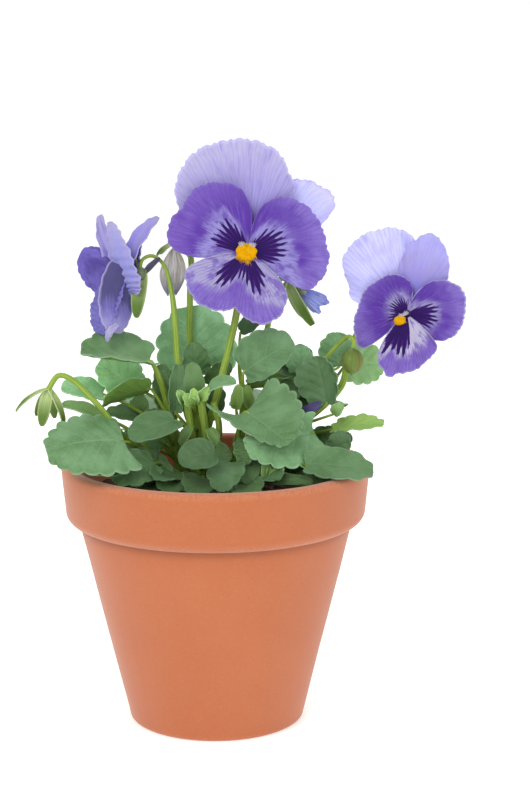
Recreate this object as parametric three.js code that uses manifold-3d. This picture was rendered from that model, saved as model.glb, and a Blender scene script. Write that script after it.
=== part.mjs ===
// Potted pansy: a terracotta pot, its soil, leafy stems, blooms, buds and a seed pod, in millimetres.
// The origin is on the pot's axis at its foot, +Z is up, and the open blooms face -Y.
import * as THREE from "three";
import { mergeVertices } from "three/addons/utils/BufferGeometryUtils.js";
import Module from "manifold-3d";

const wasm = await Module();
wasm.setup();

// Driving sizes of the pot
const POT_HEIGHT = 110.8;
const RIM_RADIUS = 65;
const BAND_HEIGHT = 24.7;
const BAND_FOOT_RADIUS = 63.4;
const BAND_ROUNDING = 5.2;
const BODY_TOP_RADIUS = 58;
const FOOT_RADIUS = 37.4;
const FOOT_ROUNDING = 1.6;
const LIP_ROUNDING = 2.4;
const WALL = 6.3;
const FLOOR = 9;
const POT_SIDES = 30;
const DRAIN_RADIUS = 4.5;
const DRAIN_CIRCLE = 17;
const DRAIN_COUNT = 3;

// Driving sizes of the soil and of the plant's parts
const SOIL_TOP = 97;
const SOIL_CROWN = 2.5;
const SOIL_CRUMB = 0.9;
const SOIL_GAP = 0.7;
const SOIL_SIDES = 24;
const SOIL_RINGS = 4;
const ROOT_DEPTH = 15;
const HOLE_SIDES = 10;
const GAP = 0.3;
const BLADE_THICKNESS = 0.7;
const PETAL_THICKNESS = 0.7;
const STEM_RADIUS = 2.3;
const PETIOLE_RADIUS = 0.95;
const RECEPTACLE_CLEAR = 2.6;
const RECEPTACLE_RADIUS = 2.8;
const SEPAL_SINK = 2.2;
const SEPAL_WIDTH = 3.6;
const SEPAL_LIFT = -0.25;
const HUB_RADIUS = 2;
const UPPER_HUB = [-2.2, -0.3];
const LOWER_HUB = [0.1, 1.8];
const EYE_DEPTH = 0.9;
const WELD = 1e-4;

const degrees = Math.PI / 180;
const point = ([x, y, z]) => new THREE.Vector3(x, y, z);

// Solids and meshes

function toSolid(geometry) {
  const bare = geometry.clone();
  bare.deleteAttribute("normal");
  bare.deleteAttribute("uv");
  const merged = mergeVertices(bare, WELD);
  const index = merged.index.array;
  const corners = [];
  for (let i = 0; i < index.length; i += 3) {
    const [a, b, c] = [index[i], index[i + 1], index[i + 2]];
    if (a !== b && b !== c && c !== a) corners.push(a, b, c);
  }
  return new wasm.Manifold(
    new wasm.Mesh({
      numProp: 3,
      vertProperties: new Float32Array(merged.attributes.position.array),
      triVerts: new Uint32Array(corners),
    }),
  );
}

// Fusing keeps the largest body, so a sealed hollow is filled and a loose scrap is dropped
function fuse(solids) {
  const joined = solids.reduce((all, next) => all.add(next));
  const bodies = joined.decompose();
  return bodies.reduce((most, next) => (next.volume() > most.volume() ? next : most));
}

function toGeometry(solid) {
  const mesh = solid.getMesh();
  const geometry = new THREE.BufferGeometry();
  geometry.setAttribute("position", new THREE.BufferAttribute(mesh.vertProperties, 3));
  geometry.setIndex(new THREE.BufferAttribute(mesh.triVerts, 1));
  geometry.computeVertexNormals();
  return geometry;
}

const materials = {
  terracotta: new THREE.MeshStandardMaterial({ color: 0xc8764c, roughness: 0.85, metalness: 0 }),
  soil: new THREE.MeshStandardMaterial({ color: 0x2c2119, roughness: 1, metalness: 0 }),
  leaf: new THREE.MeshStandardMaterial({ color: 0x6f9a6c, roughness: 0.6, metalness: 0 }),
  pale_petal: new THREE.MeshStandardMaterial({ color: 0xb9b2e2, roughness: 0.7, metalness: 0 }),
  violet_petal: new THREE.MeshStandardMaterial({ color: 0x7a58bd, roughness: 0.7, metalness: 0 }),
  eye: new THREE.MeshStandardMaterial({ color: 0xf2a417, roughness: 0.7, metalness: 0 }),
  faded_petal: new THREE.MeshStandardMaterial({ color: 0x9a93a4, roughness: 0.8, metalness: 0 }),
  dark_bud: new THREE.MeshStandardMaterial({ color: 0x3a2a66, roughness: 0.7, metalness: 0 }),
  seed_pod: new THREE.MeshStandardMaterial({ color: 0x8a9a4c, roughness: 0.6, metalness: 0 }),
};

const planter = new THREE.Group();

function place(name, solid, material) {
  const mesh = new THREE.Mesh(toGeometry(solid), materials[material]);
  mesh.name = name;
  planter.add(mesh);
}

// General shapes

const turned = (profile, sides) =>
  toSolid(
    new THREE.LatheGeometry(
      profile.map(([radius, z]) => new THREE.Vector2(radius, z)),
      sides,
    ).rotateX(Math.PI / 2),
  );

const upright = (radius, low, high, sides) =>
  new THREE.CylinderGeometry(radius, radius, high - low, sides)
    .rotateX(Math.PI / 2)
    .translate(0, 0, (low + high) / 2);

function polygon(radius, sides) {
  const corners = [];
  for (let i = 0; i < sides; i++) {
    const angle = (2 * Math.PI * i) / sides;
    corners.push(new THREE.Vector2(radius * Math.cos(angle), radius * Math.sin(angle)));
  }
  return new THREE.Shape(corners);
}

function tube(route, radius, sides, steps) {
  const path = new THREE.CatmullRomCurve3(route.map(point), false, "centripetal");
  const settings = { steps, extrudePath: path, bevelEnabled: false };
  return toSolid(new THREE.ExtrudeGeometry(polygon(radius, sides), settings));
}

// An egg between two ends, with its widest place at the middle
function egg(from, to, radius, sides, rings) {
  const axis = point(to).sub(point(from));
  const geometry = new THREE.SphereGeometry(1, sides, rings);
  geometry.scale(radius, axis.length() / 2, radius);
  const turn = new THREE.Quaternion().setFromUnitVectors(
    new THREE.Vector3(0, 1, 0),
    axis.clone().normalize(),
  );
  geometry.applyQuaternion(turn);
  const middle = point(from).add(point(to)).multiplyScalar(0.5);
  geometry.translate(middle.x, middle.y, middle.z);
  return toSolid(geometry);
}

// A thin curved sheet: surface(t, v) gives its middle, t runs from its root to its far edge and
// v from -1 to 1 across it. Both faces are split into triangles alike.
function sheet(surface, rows, columns, thickness) {
  const at = (i, j) => surface(i / rows, (2 * j) / columns - 1);
  const positions = [];
  const near = 0.02;
  for (const side of [1, -1]) {
    for (let i = 0; i <= rows; i++) {
      for (let j = 0; j <= columns; j++) {
        const t = i / rows;
        const v = (2 * j) / columns - 1;
        const alongT = surface(Math.min(t + near, 1), v).sub(surface(Math.max(t - near, 0), v));
        const alongV = surface(t, Math.min(v + near, 1)).sub(surface(t, Math.max(v - near, -1)));
        const normal = alongV.cross(alongT).normalize();
        const p = at(i, j).addScaledVector(normal, (side * thickness) / 2);
        positions.push(p.x, p.y, p.z);
      }
    }
  }
  const layer = (rows + 1) * (columns + 1);
  const index = (i, j) => i * (columns + 1) + j;
  const triangles = [];
  const quad = (a, b, c, d) => triangles.push(a, b, c, a, c, d);
  for (let i = 0; i < rows; i++) {
    for (let j = 0; j < columns; j++) {
      const [a, b, c, d] = [index(i, j), index(i, j + 1), index(i + 1, j + 1), index(i + 1, j)];
      quad(a, b, c, d);
      triangles.push(layer + a, layer + c, layer + b, layer + a, layer + d, layer + c);
    }
  }
  const wall = (a, b) => quad(a, layer + a, layer + b, b);
  for (let j = 0; j < columns; j++) {
    wall(index(0, j), index(0, j + 1));
    wall(index(rows, j + 1), index(rows, j));
  }
  for (let i = 0; i < rows; i++) {
    wall(index(i, columns), index(i + 1, columns));
    wall(index(i + 1, 0), index(i, 0));
  }
  const geometry = new THREE.BufferGeometry();
  geometry.setAttribute("position", new THREE.Float32BufferAttribute(positions, 3));
  geometry.setIndex(triangles);
  return toSolid(geometry);
}

// The frame of a blade: its root, the way it runs, its upper face and its side
function bladeFrame(base, along, face) {
  const a = along.clone().normalize();
  const n = face.clone().addScaledVector(a, -face.dot(a)).normalize();
  const side = new THREE.Vector3().crossVectors(a, n);
  return (x, y, h) =>
    base.clone().addScaledVector(a, x).addScaledVector(side, y).addScaledVector(n, h);
}

// Leaves: a blade with scalloped edges from its base to its tip, folded or bowed, on a petiole.
// back is how far the basal lobes reach behind the base, as a share of the blade's length.

const SCALLOP_LEVEL = 0.6;
const LEAF_MIDDLE = 0.42;
const leafDefaults = {
  neck: 25,
  blunt: 12,
  skew: 1.15,
  back: 0.05,
  backLean: 0,
  lobes: 3,
  scallop: 0.16,
  cup: 1.5,
  arch: 1.5,
  lean: 0,
  rows: 9,
  columns: 2,
};

function leafSurface(leaf) {
  const base = point(leaf.base);
  const along = point(leaf.tip).sub(base);
  const length = along.length();
  const place3 = bladeFrame(base, along, point(leaf.face));
  const first = leaf.neck * degrees;
  const last = Math.PI - leaf.blunt * degrees;
  const reach = (phi) => Math.pow((1 - Math.cos(phi)) / 2, leaf.skew);
  return (t, v) => {
    const phi = first + (last - first) * t;
    const run = (reach(phi) - reach(first)) / (reach(last) - reach(first));
    const back = leaf.back * (1 + leaf.backLean * v) * v * v * (1 - t) * (1 - t);
    let x = length * (run - back);
    let y = (leaf.width / 2) * Math.sin(phi) * v * (1 + leaf.lean * v);
    const wave = Math.abs(Math.sin(Math.PI * leaf.lobes * t)) - SCALLOP_LEVEL;
    const push = leaf.scallop * wave * Math.abs(v * v * v);
    x += (x - LEAF_MIDDLE * length) * push;
    y += y * push;
    const bow = 4 * leaf.arch * run * (1 - run);
    return place3(x, y, bow + leaf.cup * v * v * Math.sin(phi));
  };
}

function leafSolids(given) {
  const leaf = { ...leafDefaults, ...given };
  const surface = leafSurface(leaf);
  const blade = sheet(surface, leaf.rows, leaf.columns, BLADE_THICKNESS);
  if (!leaf.petiole) return [blade];
  const end = surface(0.08, 0);
  const route = [...leaf.petiole, leaf.base, [end.x, end.y, end.z]];
  return [blade, tube(route, PETIOLE_RADIUS, 4, 2 + leaf.petiole.length)];
}

const small = { rows: 6, columns: 2, lobes: 3, scallop: 0.18 };
const plain = { scallop: 0.03, lobes: 2, rows: 5, columns: 4 };
const large = { rows: 12, columns: 4, lobes: 4 };
const young = { rows: 3, columns: 2, lobes: 2, scallop: 0.1, neck: 20 };
const sepal = { rows: 3, columns: 2, scallop: 0, neck: 14, cup: 0.5, arch: 0.6 };

// Petals: a fan that widens from its claw to a frilled rim, given as angles and reaches

const petalDefaults = {
  claw: 1.6,
  frill: 0.8,
  frills: 4,
  belly: 0,
  rows: 4,
  columns: 8,
};

// How far out a petal reaches in one direction, on a smooth curve through its rim's points
function rimReach(rim, turn) {
  const last = rim.length - 1;
  const slope = (i) => {
    const [before, after] = [rim[Math.max(i - 1, 0)], rim[Math.min(i + 1, last)]];
    return (after[1] - before[1]) / (after[0] - before[0]);
  };
  let i = 0;
  while (i < last - 1 && rim[i + 1][0] < turn) i += 1;
  const gap = rim[i + 1][0] - rim[i][0];
  const u = (turn - rim[i][0]) / gap;
  const leave = (1 + 2 * u) * (1 - u) ** 2 * rim[i][1] + u * (1 - u) ** 2 * gap * slope(i);
  const arrive = u * u * (3 - 2 * u) * rim[i + 1][1] + u * u * (u - 1) * gap * slope(i + 1);
  return leave + arrive;
}

function petalSurface(petal, basis) {
  const angle = (petal.angle ?? 0) * degrees;
  const tilt = (petal.tilt ?? 0) * degrees;
  const inPlane = basis.right
    .clone()
    .multiplyScalar(Math.cos(angle))
    .addScaledVector(basis.up, Math.sin(angle));
  const open = inPlane
    .multiplyScalar(Math.cos(tilt))
    .addScaledVector(basis.face, Math.sin(tilt));
  const along = petal.toward ? point(petal.toward) : open;
  const face = petal.faces ? point(petal.faces) : basis.face;
  const claw = basis.centre.clone().addScaledVector(basis.face, petal.layer);
  const place3 = bladeFrame(claw, along, face);
  const first = petal.rim[0][0];
  const last = petal.rim[petal.rim.length - 1][0];
  return (t, v) => {
    const turn = (first + last) / 2 - (v * (last - first)) / 2;
    const r = petal.claw + (rimReach(petal.rim, turn) - petal.claw) * t;
    const theta = (petal.angle ?? 0) * degrees - turn * degrees;
    const frill = petal.frill * Math.sin(petal.frills * Math.PI * v + 1) * t * t * t;
    const bow = 4 * petal.belly * t * (1 - t);
    return place3(r * Math.cos(theta), r * Math.sin(theta), bow + frill);
  };
}

// A petal seen edge-on is an oval between two ends, and any other is a fan round the eye
const ovalDefaults = { ...leafDefaults, scallop: 0.05, lobes: 4, rows: 4, columns: 4, skew: 1, blunt: 16 };

function petalSolid(given, basis) {
  if (given.tip) {
    const oval = { ...ovalDefaults, ...given };
    return sheet(leafSurface(oval), oval.rows, oval.columns, PETAL_THICKNESS);
  }
  const petal = { ...petalDefaults, ...given };
  return sheet(petalSurface(petal, basis), petal.rows, petal.columns, PETAL_THICKNESS);
}

// A flower's own frame: the centre of its eye, the way it faces and its upright
function flowerBasis(centre, facing, upward) {
  const face = point(facing).normalize();
  const up = point(upward);
  up.addScaledVector(face, -up.dot(face)).normalize();
  const right = new THREE.Vector3().crossVectors(up, face);
  return { centre: point(centre), face, up, right };
}

// The green back of a flower: a small receptacle and pointed sepals round it
function calyxSolids(basis, depth, clear, sepals) {
  const { centre, face, up, right } = basis;
  const back = centre.clone().addScaledVector(face, -depth);
  const front = centre.clone().addScaledVector(face, -clear);
  const solids = [egg(back.toArray(), front.toArray(), RECEPTACLE_RADIUS, 5, 3)];
  const root = centre.clone().addScaledVector(face, -clear - SEPAL_SINK);
  for (const shape of sepals) {
    const along = right
      .clone()
      .multiplyScalar(Math.cos(shape.angle * degrees))
      .addScaledVector(up, Math.sin(shape.angle * degrees))
      .addScaledVector(face, shape.lift ?? SEPAL_LIFT)
      .normalize();
    const tip = root.clone().addScaledVector(along, shape.length);
    const blade = {
      ...sepal,
      base: root.toArray(),
      tip: tip.toArray(),
      face: face.toArray(),
      width: shape.width ?? SEPAL_WIDTH,
    };
    solids.push(...leafSolids(blade));
  }
  return solids;
}

// Pot

function potSolid() {
  const bandFoot = POT_HEIGHT - BAND_HEIGHT;
  const profile = [[0, 0]];
  const arc = (cx, cz, radius, from, to, steps) => {
    for (let i = 0; i <= steps; i++) {
      const angle = (from + ((to - from) * i) / steps) * degrees;
      profile.push([cx + radius * Math.cos(angle), cz + radius * Math.sin(angle)]);
    }
  };
  arc(FOOT_RADIUS - FOOT_ROUNDING, FOOT_ROUNDING, FOOT_ROUNDING, -90, -8, 2);
  profile.push([BODY_TOP_RADIUS, bandFoot + 0.4]);
  arc(BAND_FOOT_RADIUS - BAND_ROUNDING, bandFoot + BAND_ROUNDING, BAND_ROUNDING, -75, 0, 3);
  arc(RIM_RADIUS - LIP_ROUNDING, POT_HEIGHT - LIP_ROUNDING, LIP_ROUNDING, 4, 90, 2);
  const innerRim = RIM_RADIUS - WALL;
  arc(innerRim + LIP_ROUNDING, POT_HEIGHT - LIP_ROUNDING, LIP_ROUNDING, 90, 180, 2);
  profile.push([BODY_TOP_RADIUS - WALL, bandFoot]);
  profile.push([FOOT_RADIUS - WALL + 1, FLOOR]);
  profile.push([0, FLOOR]);
  let pot = turned(profile, POT_SIDES);
  for (let i = 0; i < DRAIN_COUNT; i++) {
    const angle = (2 * Math.PI * (i + 0.25)) / DRAIN_COUNT;
    const drill = upright(DRAIN_RADIUS, -2, FLOOR + 2, 16);
    drill.translate(DRAIN_CIRCLE * Math.cos(angle), DRAIN_CIRCLE * Math.sin(angle), 0);
    pot = pot.subtract(toSolid(drill));
  }
  return pot;
}

place("pot", potSolid(), "terracotta");

// Soil, with a plain hole for each leafy stem

function innerRadius(z) {
  const bandFoot = POT_HEIGHT - BAND_HEIGHT;
  const share = (z - FLOOR) / (bandFoot - FLOOR);
  const low = FOOT_RADIUS - WALL + 1;
  const high = BODY_TOP_RADIUS - WALL;
  if (share <= 1) return low + (high - low) * share;
  const rise = (z - bandFoot) / (POT_HEIGHT - LIP_ROUNDING - bandFoot);
  return high + (RIM_RADIUS - WALL - high) * rise;
}

function soilSolid(roots) {
  const bandFoot = POT_HEIGHT - BAND_HEIGHT;
  const low = FLOOR + GAP;
  const profile = [[0, low]];
  for (const z of [low, bandFoot]) profile.push([innerRadius(z) - SOIL_GAP, z]);
  const rim = innerRadius(SOIL_TOP) - SOIL_GAP;
  for (let i = 0; i <= SOIL_RINGS; i++) {
    const radius = rim * (1 - i / SOIL_RINGS);
    profile.push([radius, SOIL_TOP + SOIL_CROWN * (1 - (radius / rim) ** 2)]);
  }
  const geometry = new THREE.LatheGeometry(
    profile.map(([radius, z]) => new THREE.Vector2(radius, z)),
    SOIL_SIDES,
  ).rotateX(Math.PI / 2);
  const place3 = geometry.attributes.position;
  for (let i = 0; i < place3.count; i++) {
    const [x, y, z] = [place3.getX(i), place3.getY(i), place3.getZ(i)];
    if (z < SOIL_TOP - 1) continue;
    const crumb = Math.sin(0.61 * x + 0.9) * Math.cos(0.53 * y) + 0.6 * Math.sin(0.23 * x - 0.31 * y);
    place3.setZ(i, z + SOIL_CRUMB * crumb);
  }
  let soil = toSolid(geometry);
  for (const [x, y] of roots) {
    const radius = (STEM_RADIUS + GAP) / Math.cos(Math.PI / HOLE_SIDES) + 0.05;
    const hole = upright(radius, SOIL_TOP - ROOT_DEPTH, SOIL_TOP + 12, HOLE_SIDES);
    hole.translate(x, y, 0);
    soil = soil.subtract(toSolid(hole));
  }
  return soil;
}

// Leafy stems. Each has its root in the soil, its stems, its leaves and the stalks of its flowers.

const shoots = {};

shoots.left_front_stem = {
  root: [-17, -11],
  stem: [[-19, -14, 108], [-27, -20, 117]],
  stalks: [
    {
      route: [
        [-26, -19, 116],
        [-36, -20, 124],
        [-47.6, -24, 139.5],
        [-57.8, -26, 150.2],
        [-62.8, -26, 151.6],
        [-67, -26, 146],
      ],
      radius: 1.1,
    },
  ],
  sepals: [
    { base: [-67, -26, 146], tip: [-80, -29, 137.3], face: [-0.6, -0.3, 0.8], width: 3.6, arch: 1.5 },
    { base: [-67, -26, 146], tip: [-69.7, -29, 131.3], face: [-0.2, -1, 0], width: 5.4 },
    { base: [-67, -26, 146], tip: [-61.2, -25, 130.4], face: [0.8, -0.5, 0.3], width: 3.8, arch: 1.5 },
    { base: [-67, -26, 146], tip: [-65.5, -20, 133], face: [0.2, 1, 0.3], width: 4.4 },
    { base: [-67, -26, 146], tip: [-73, -20, 134], face: [-0.6, 0.7, 0.3], width: 4 },
  ],
  leaves: [
    {
      base: [-36, -34, 125.9],
      tip: [-66, -45, 124],
      face: [-0.1, -0.6, 0.75],
      width: 34,
      neck: 50,
      back: 0.1,
      backLean: -0.6,
      cup: -2.5,
      arch: 3,
      scallop: 0.13,
      petiole: [[-26, -19, 116], [-32, -27, 123]],
      ...large,
    },
    {
      base: [-18, -26, 109],
      tip: [-23, -44, 112.6],
      face: [0.2, -0.5, 0.85],
      width: 13,
      petiole: [[-17, -11, 102]],
      ...small,
    },
    {
      base: [-24, -31, 116.4],
      tip: [-40, -42.5, 111.6],
      face: [0.1, -0.7, 0.7],
      width: 17,
      petiole: [[-18, -13, 104], [-20, -24, 113]],
      ...small,
    },
    {
      base: [-47, -13, 132],
      tip: [-62.8, -20, 138.5],
      face: [0, -0.7, 0.7],
      width: 6,
      petiole: [[-22, -16, 112], [-36, -9, 126]],
      ...young,
    },
  ],
};

shoots.left_stem = {
  root: [-15, 2],
  stem: [[-16, 2, 112], [-19, 0, 126], [-19.5, -1, 132]],
  leaves: [
    {
      base: [-26.9, -7, 154.6],
      tip: [-55, -14, 159],
      face: [0.05, -0.3, 0.95],
      width: 27,
      cup: 5,
      arch: 0.8,
      neck: 32,
      back: 0.1,
      columns: 4,
      petiole: [[-19, 0, 130], [-23, -4, 146]],
    },
    {
      base: [-33, 2, 141.5],
      tip: [-49, -1, 153],
      face: [-0.1, -0.85, 0.5],
      width: 18,
      petiole: [[-18.5, 1, 126], [-24, 2, 136]],
    },
    {
      base: [-47, -3, 140],
      tip: [-64, -8, 143.5],
      face: [0, -0.7, 0.7],
      width: 11,
      petiole: [[-18, 1, 120], [-32, 0, 132]],
      ...small,
    },
    {
      base: [-27.4, -3, 142.5],
      tip: [-46, -15, 138],
      face: [0.1, 0.75, 0.65],
      width: 14,
      petiole: [[-19, -1, 129]],
      ...small,
    },
    {
      base: [-31, 4, 130.5],
      tip: [-34, 3, 141],
      face: [0, -1, 0.1],
      width: 7.5,
      petiole: [[-17, 2, 116]],
      ...young,
    },
    {
      base: [-16.5, 6, 135],
      tip: [-24.4, 6, 151],
      face: [0.2, -1, 0.1],
      width: 10,
      petiole: [[-18, 2, 122]],
      ...small,
    },
  ],
};

shoots.back_left_stem = {
  root: [-9, 13],
  stem: [[-9, 14, 115], [-9, 14, 134]],
  stalks: [
    {
      route: [
        [-9, 14, 132],
        [-11.4, 18, 157.8],
        [-11.3, 20, 181],
        [-11, 20, 196],
        [-14, 20, 201.8],
        [-18, 20, 201.2],
      ],
      radius: 1.25,
    },
  ],
  sepals: [
    { base: [-17.8, 20, 201.2], tip: [-25, 15, 196.5], face: [-0.3, -0.5, 0.8], width: 3 },
    { base: [-17.8, 20, 201.2], tip: [-10.5, 14, 195], face: [0.5, -0.5, 0.7], width: 3 },
    { base: [-17.8, 20, 201.2], tip: [-24, 27, 196], face: [-0.4, 0.6, 0.7], width: 3 },
    { base: [-17.8, 20, 201.2], tip: [-11, 27, 196], face: [0.5, 0.6, 0.7], width: 3 },
  ],
  leaves: [
    {
      base: [-8, 12, 146],
      tip: [-9.8, 8.5, 160.2],
      face: [0.1, -0.9, 0.35],
      width: 12.5,
      petiole: [[-9, 14, 130]],
    },
    {
      base: [-7, 22, 147.5],
      tip: [-12.3, 25, 173.5],
      face: [-0.05, -0.9, 0.3],
      width: 34,
      neck: 48,
      back: 0.15,
      columns: 4,
      petiole: [[-9, 14, 130]],
    },
    {
      base: [-24, 14, 112.5],
      tip: [-42, 20, 117],
      face: [-0.1, -0.55, 0.85],
      width: 18,
      petiole: [[-9, 14, 103]],
      ...small,
    },
    {
      base: [-26, 26, 126],
      tip: [-50, 40, 130],
      face: [-0.2, 0.2, 0.95],
      width: 24,
      neck: 45,
      back: 0.2,
      arch: 3,
      petiole: [[-9, 14, 108], [-18, 22, 120]],
    },
    {
      base: [-10, 32, 128],
      tip: [-16, 58, 124],
      face: [0, 0.3, 0.95],
      width: 26,
      neck: 45,
      back: 0.2,
      arch: 3,
      petiole: [[-9, 14, 112], [-9, 24, 124]],
    },
    {
      base: [-26, 38, 111],
      tip: [-42, 54, 114],
      face: [-0.2, 0.2, 0.95],
      width: 16,
      petiole: [[-9, 14, 102], [-17, 28, 109]],
      ...small,
    },
  ],
};

shoots.middle_stem = {
  root: [-6, -5],
  stem: [[-6, -5, 112], [-7, -5, 124], [-7.5, -6, 134]],
  stalks: [
    {
      route: [
        [-7, -5, 118],
        [-12.9, -4, 137],
        [-15.7, -3, 154.4],
        [-17.9, -2, 182],
        [-21.5, -1, 194.5],
        [-26, -0.8, 197.8],
        [-30, -1.4, 196.2],
        [-31, -2, 192],
      ],
      radius: 1.3,
    },
    {
      route: [
        [-6, -5, 116],
        [2.8, -3, 148],
        [8.7, 0, 173],
        [11, 3, 190],
        [12.4, 2, 200],
        [13.2, -2, 202.5],
        [13.5, -6, 200.4],
      ],
      radius: 1.4,
    },
  ],
  sepals: [
    { base: [-29.7, -1.6, 191.5], tip: [-32.6, -4.2, 172.4], face: [-0.3, -0.95, 0], width: 6.4, arch: 1 },
    { base: [-31.1, -0.8, 191.6], tip: [-28, 1, 205.2], face: [-1, -0.3, 0.35], width: 2.8, arch: 3 },
    { base: [-29.6, -1.4, 190.2], tip: [-22.6, -3, 197.2], face: [-0.3, -0.9, 0.5], width: 2.8, arch: 0.4 },
  ],
  leaves: [
    {
      base: [-16, -18, 131.5],
      tip: [-33.4, -31, 126],
      face: [-0.2, -0.6, 0.75],
      width: 17,
      cup: 1.5,
      petiole: [[-7, -5, 121]],
      ...plain,
    },
    {
      base: [-8, -9, 139],
      tip: [-9.5, -9, 154.4],
      face: [0.1, -1, 0.05],
      width: 8.5,
      cup: 1,
      petiole: [[-7.5, -6, 130]],
      ...young,
    },
    {
      base: [-2, -13, 143.5],
      tip: [9, -16, 147],
      face: [0, -0.5, 0.85],
      width: 8,
      petiole: [[-7, -6, 128]],
      ...young,
    },
    {
      base: [0.8, -39.5, 121.8],
      tip: [-13.6, -44, 120.2],
      face: [0, -0.75, 0.65],
      width: 14.5,
      petiole: [[-6, -6, 108], [-6, -32, 120]],
      ...plain,
    },
    {
      base: [-12.5, -10, 138],
      tip: [-15.5, -14, 143.5],
      face: [0, -1, 0.4],
      width: 4.5,
      petiole: [[-7.5, -6, 131]],
      ...young,
    },
  ],
};

shoots.right_stem = {
  root: [8, 2],
  stem: [[8, 2, 112], [11, 2, 126], [12, 1, 136]],
  stalks: [
    {
      route: [
        [11, 2, 128],
        [16, 3, 146],
        [22, 4, 168],
        [25, 5, 182],
        [27.5, 4, 188],
        [30, 3, 187.5],
      ],
      radius: 1.1,
    },
    {
      route: [[11, 2, 122], [22, -4, 134], [29, -6, 133], [34.4, -7.6, 130.6]],
      radius: 0.9,
    },
    {
      route: [
        [12, 1, 128],
        [28, 2, 140],
        [42, 1.5, 150],
        [48, 0, 157],
        [53.4, -3, 163],
        [55.8, -5.4, 164.8],
        [57.6, -6, 163],
        [57.2, -6, 160.3],
      ],
      radius: 0.85,
    },
  ],
  sepals: [
    { base: [30.4, 2.8, 187], tip: [40.9, -1, 169], face: [-0.5, -0.8, -0.3], width: 5.5, arch: 1 },
    { base: [30.4, 2.8, 187], tip: [37, 7, 171], face: [-0.5, 0.8, -0.3], width: 4.5, arch: 1 },
    { base: [30.4, 2.8, 187], tip: [28.5, 1, 179], face: [-0.8, -0.5, 0], width: 3, arch: 1 },
  ],
  leaves: [
    {
      base: [11.9, -5, 149.9],
      tip: [32.3, -9, 163.6],
      face: [0.05, -0.95, 0.3],
      width: 19.5,
      lean: -0.2,
      neck: 36,
      back: 0.03,
      scallop: 0.08,
      cup: 1,
      petiole: [[12, 1, 134]],
    },
    {
      base: [35.6, 7, 147],
      tip: [35.6, 9, 159],
      face: [0, -1, 0.1],
      width: 11.5,
      petiole: [[11, 2, 122], [26, 6, 136]],
      ...small,
    },
    {
      base: [46.8, -2, 135.6],
      tip: [42, -5, 156.4],
      face: [-0.25, -0.95, 0.1],
      width: 18,
      neck: 18,
      skew: 0.8,
      lean: -0.2,
      cup: 3,
      arch: -1,
      petiole: [[12, 1, 120], [32, -1, 126]],
    },
    {
      base: [52.6, 6, 150.5],
      tip: [50.8, 4, 165.2],
      face: [-0.3, -0.85, 0.3],
      width: 16,
      petiole: [[12, 2, 124], [36, 5, 142]],
    },
    {
      base: [14, 3, 144],
      tip: [35, 4, 146.5],
      face: [0, -0.2, 0.97],
      width: 14,
      petiole: [[12, 1, 135]],
    },
  ],
};

shoots.right_front_stem = {
  root: [6, -12],
  stem: [[8, -13, 108], [14, -15, 118]],
  leaves: [
    {
      base: [13, -22, 136],
      tip: [30, -37, 125.5],
      face: [-0.1, -0.5, 0.85],
      width: 31,
      neck: 68,
      back: 0.4,
      backLean: 0.35,
      lean: -0.3,
      scallop: 0.11,
      cup: 2.2,
      arch: 1,
      petiole: [[11, -14, 114], [10, -17, 130]],
      ...large,
    },
    {
      base: [41, -18, 126.6],
      tip: [13, -35, 123.4],
      face: [0.15, -0.8, 0.6],
      width: 25,
      lean: -0.2,
      neck: 50,
      back: 0.14,
      cup: 1,
      petiole: [[14, -15, 116], [34, -13, 123]],
      ...large,
    },
    {
      base: [37, -34, 116.5],
      tip: [64.8, -31, 113],
      face: [0.15, -0.6, 0.8],
      width: 17,
      petiole: [[10, -14, 110], [26, -26, 113]],
    },
    {
      base: [6, -32.4, 117],
      tip: [3, -48, 108.4],
      face: [0, -0.8, 0.6],
      width: 15,
      neck: 45,
      back: 0.1,
      petiole: [[7, -13, 104], [5, -26, 115]],
      ...small,
    },
    {
      base: [16, -26, 108.5],
      tip: [27, -42, 112.4],
      face: [-0.1, -0.5, 0.85],
      width: 13,
      petiole: [[6, -12, 102]],
      ...small,
    },
    {
      base: [49.5, -8, 115],
      tip: [54, -8, 125],
      face: [0, -1, 0.2],
      width: 10,
      petiole: [[10, -14, 108], [34, -12, 112]],
      ...small,
    },
  ],
};

shoots.back_right_stem = {
  root: [10, 14],
  stem: [[14, 14, 110], [26, 11, 118], [36, 7, 126]],
  stalks: [
    {
      route: [
        [34, 8, 124],
        [46, 6, 134],
        [53.5, 6, 143],
        [57, 10, 158],
        [66, 11, 172],
        [74, 9, 178.2],
        [79, 4, 179.2],
        [80.6, -2, 175.8],
      ],
      radius: 1.35,
    },
  ],
  leaves: [
    {
      base: [56, 13, 150.6],
      tip: [71.4, 17, 149.8],
      face: [0.1, -0.9, 0.3],
      width: 19,
      neck: 45,
      back: 0.15,
      petiole: [[36, 8, 125], [48, 12, 140]],
    },
    {
      base: [49.5, -1, 124.5],
      tip: [70.5, -7, 128],
      face: [0, -0.6, 0.8],
      width: 9,
      neck: 15,
      petiole: [[30, 10, 121], [42, 4, 122]],
    },
    {
      base: [16, 32, 128],
      tip: [30, 54, 130],
      face: [0.1, 0.3, 0.95],
      width: 26,
      neck: 45,
      back: 0.2,
      arch: 3,
      petiole: [[13, 14, 108], [14, 24, 122]],
    },
    {
      base: [33, 24, 126],
      tip: [56, 36, 128],
      face: [0.2, 0.2, 0.95],
      width: 22,
      neck: 45,
      back: 0.2,
      arch: 3,
      petiole: [[18, 13, 112], [26, 20, 122]],
    },
    {
      base: [24, 38, 110],
      tip: [36, 56, 114],
      face: [0.1, 0.2, 0.95],
      width: 15,
      petiole: [[11, 14, 104], [18, 28, 109]],
      ...small,
    },
  ],
};

// Open blooms: pale upper petals behind, violet side petals and lip, and a small yellow eye

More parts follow.
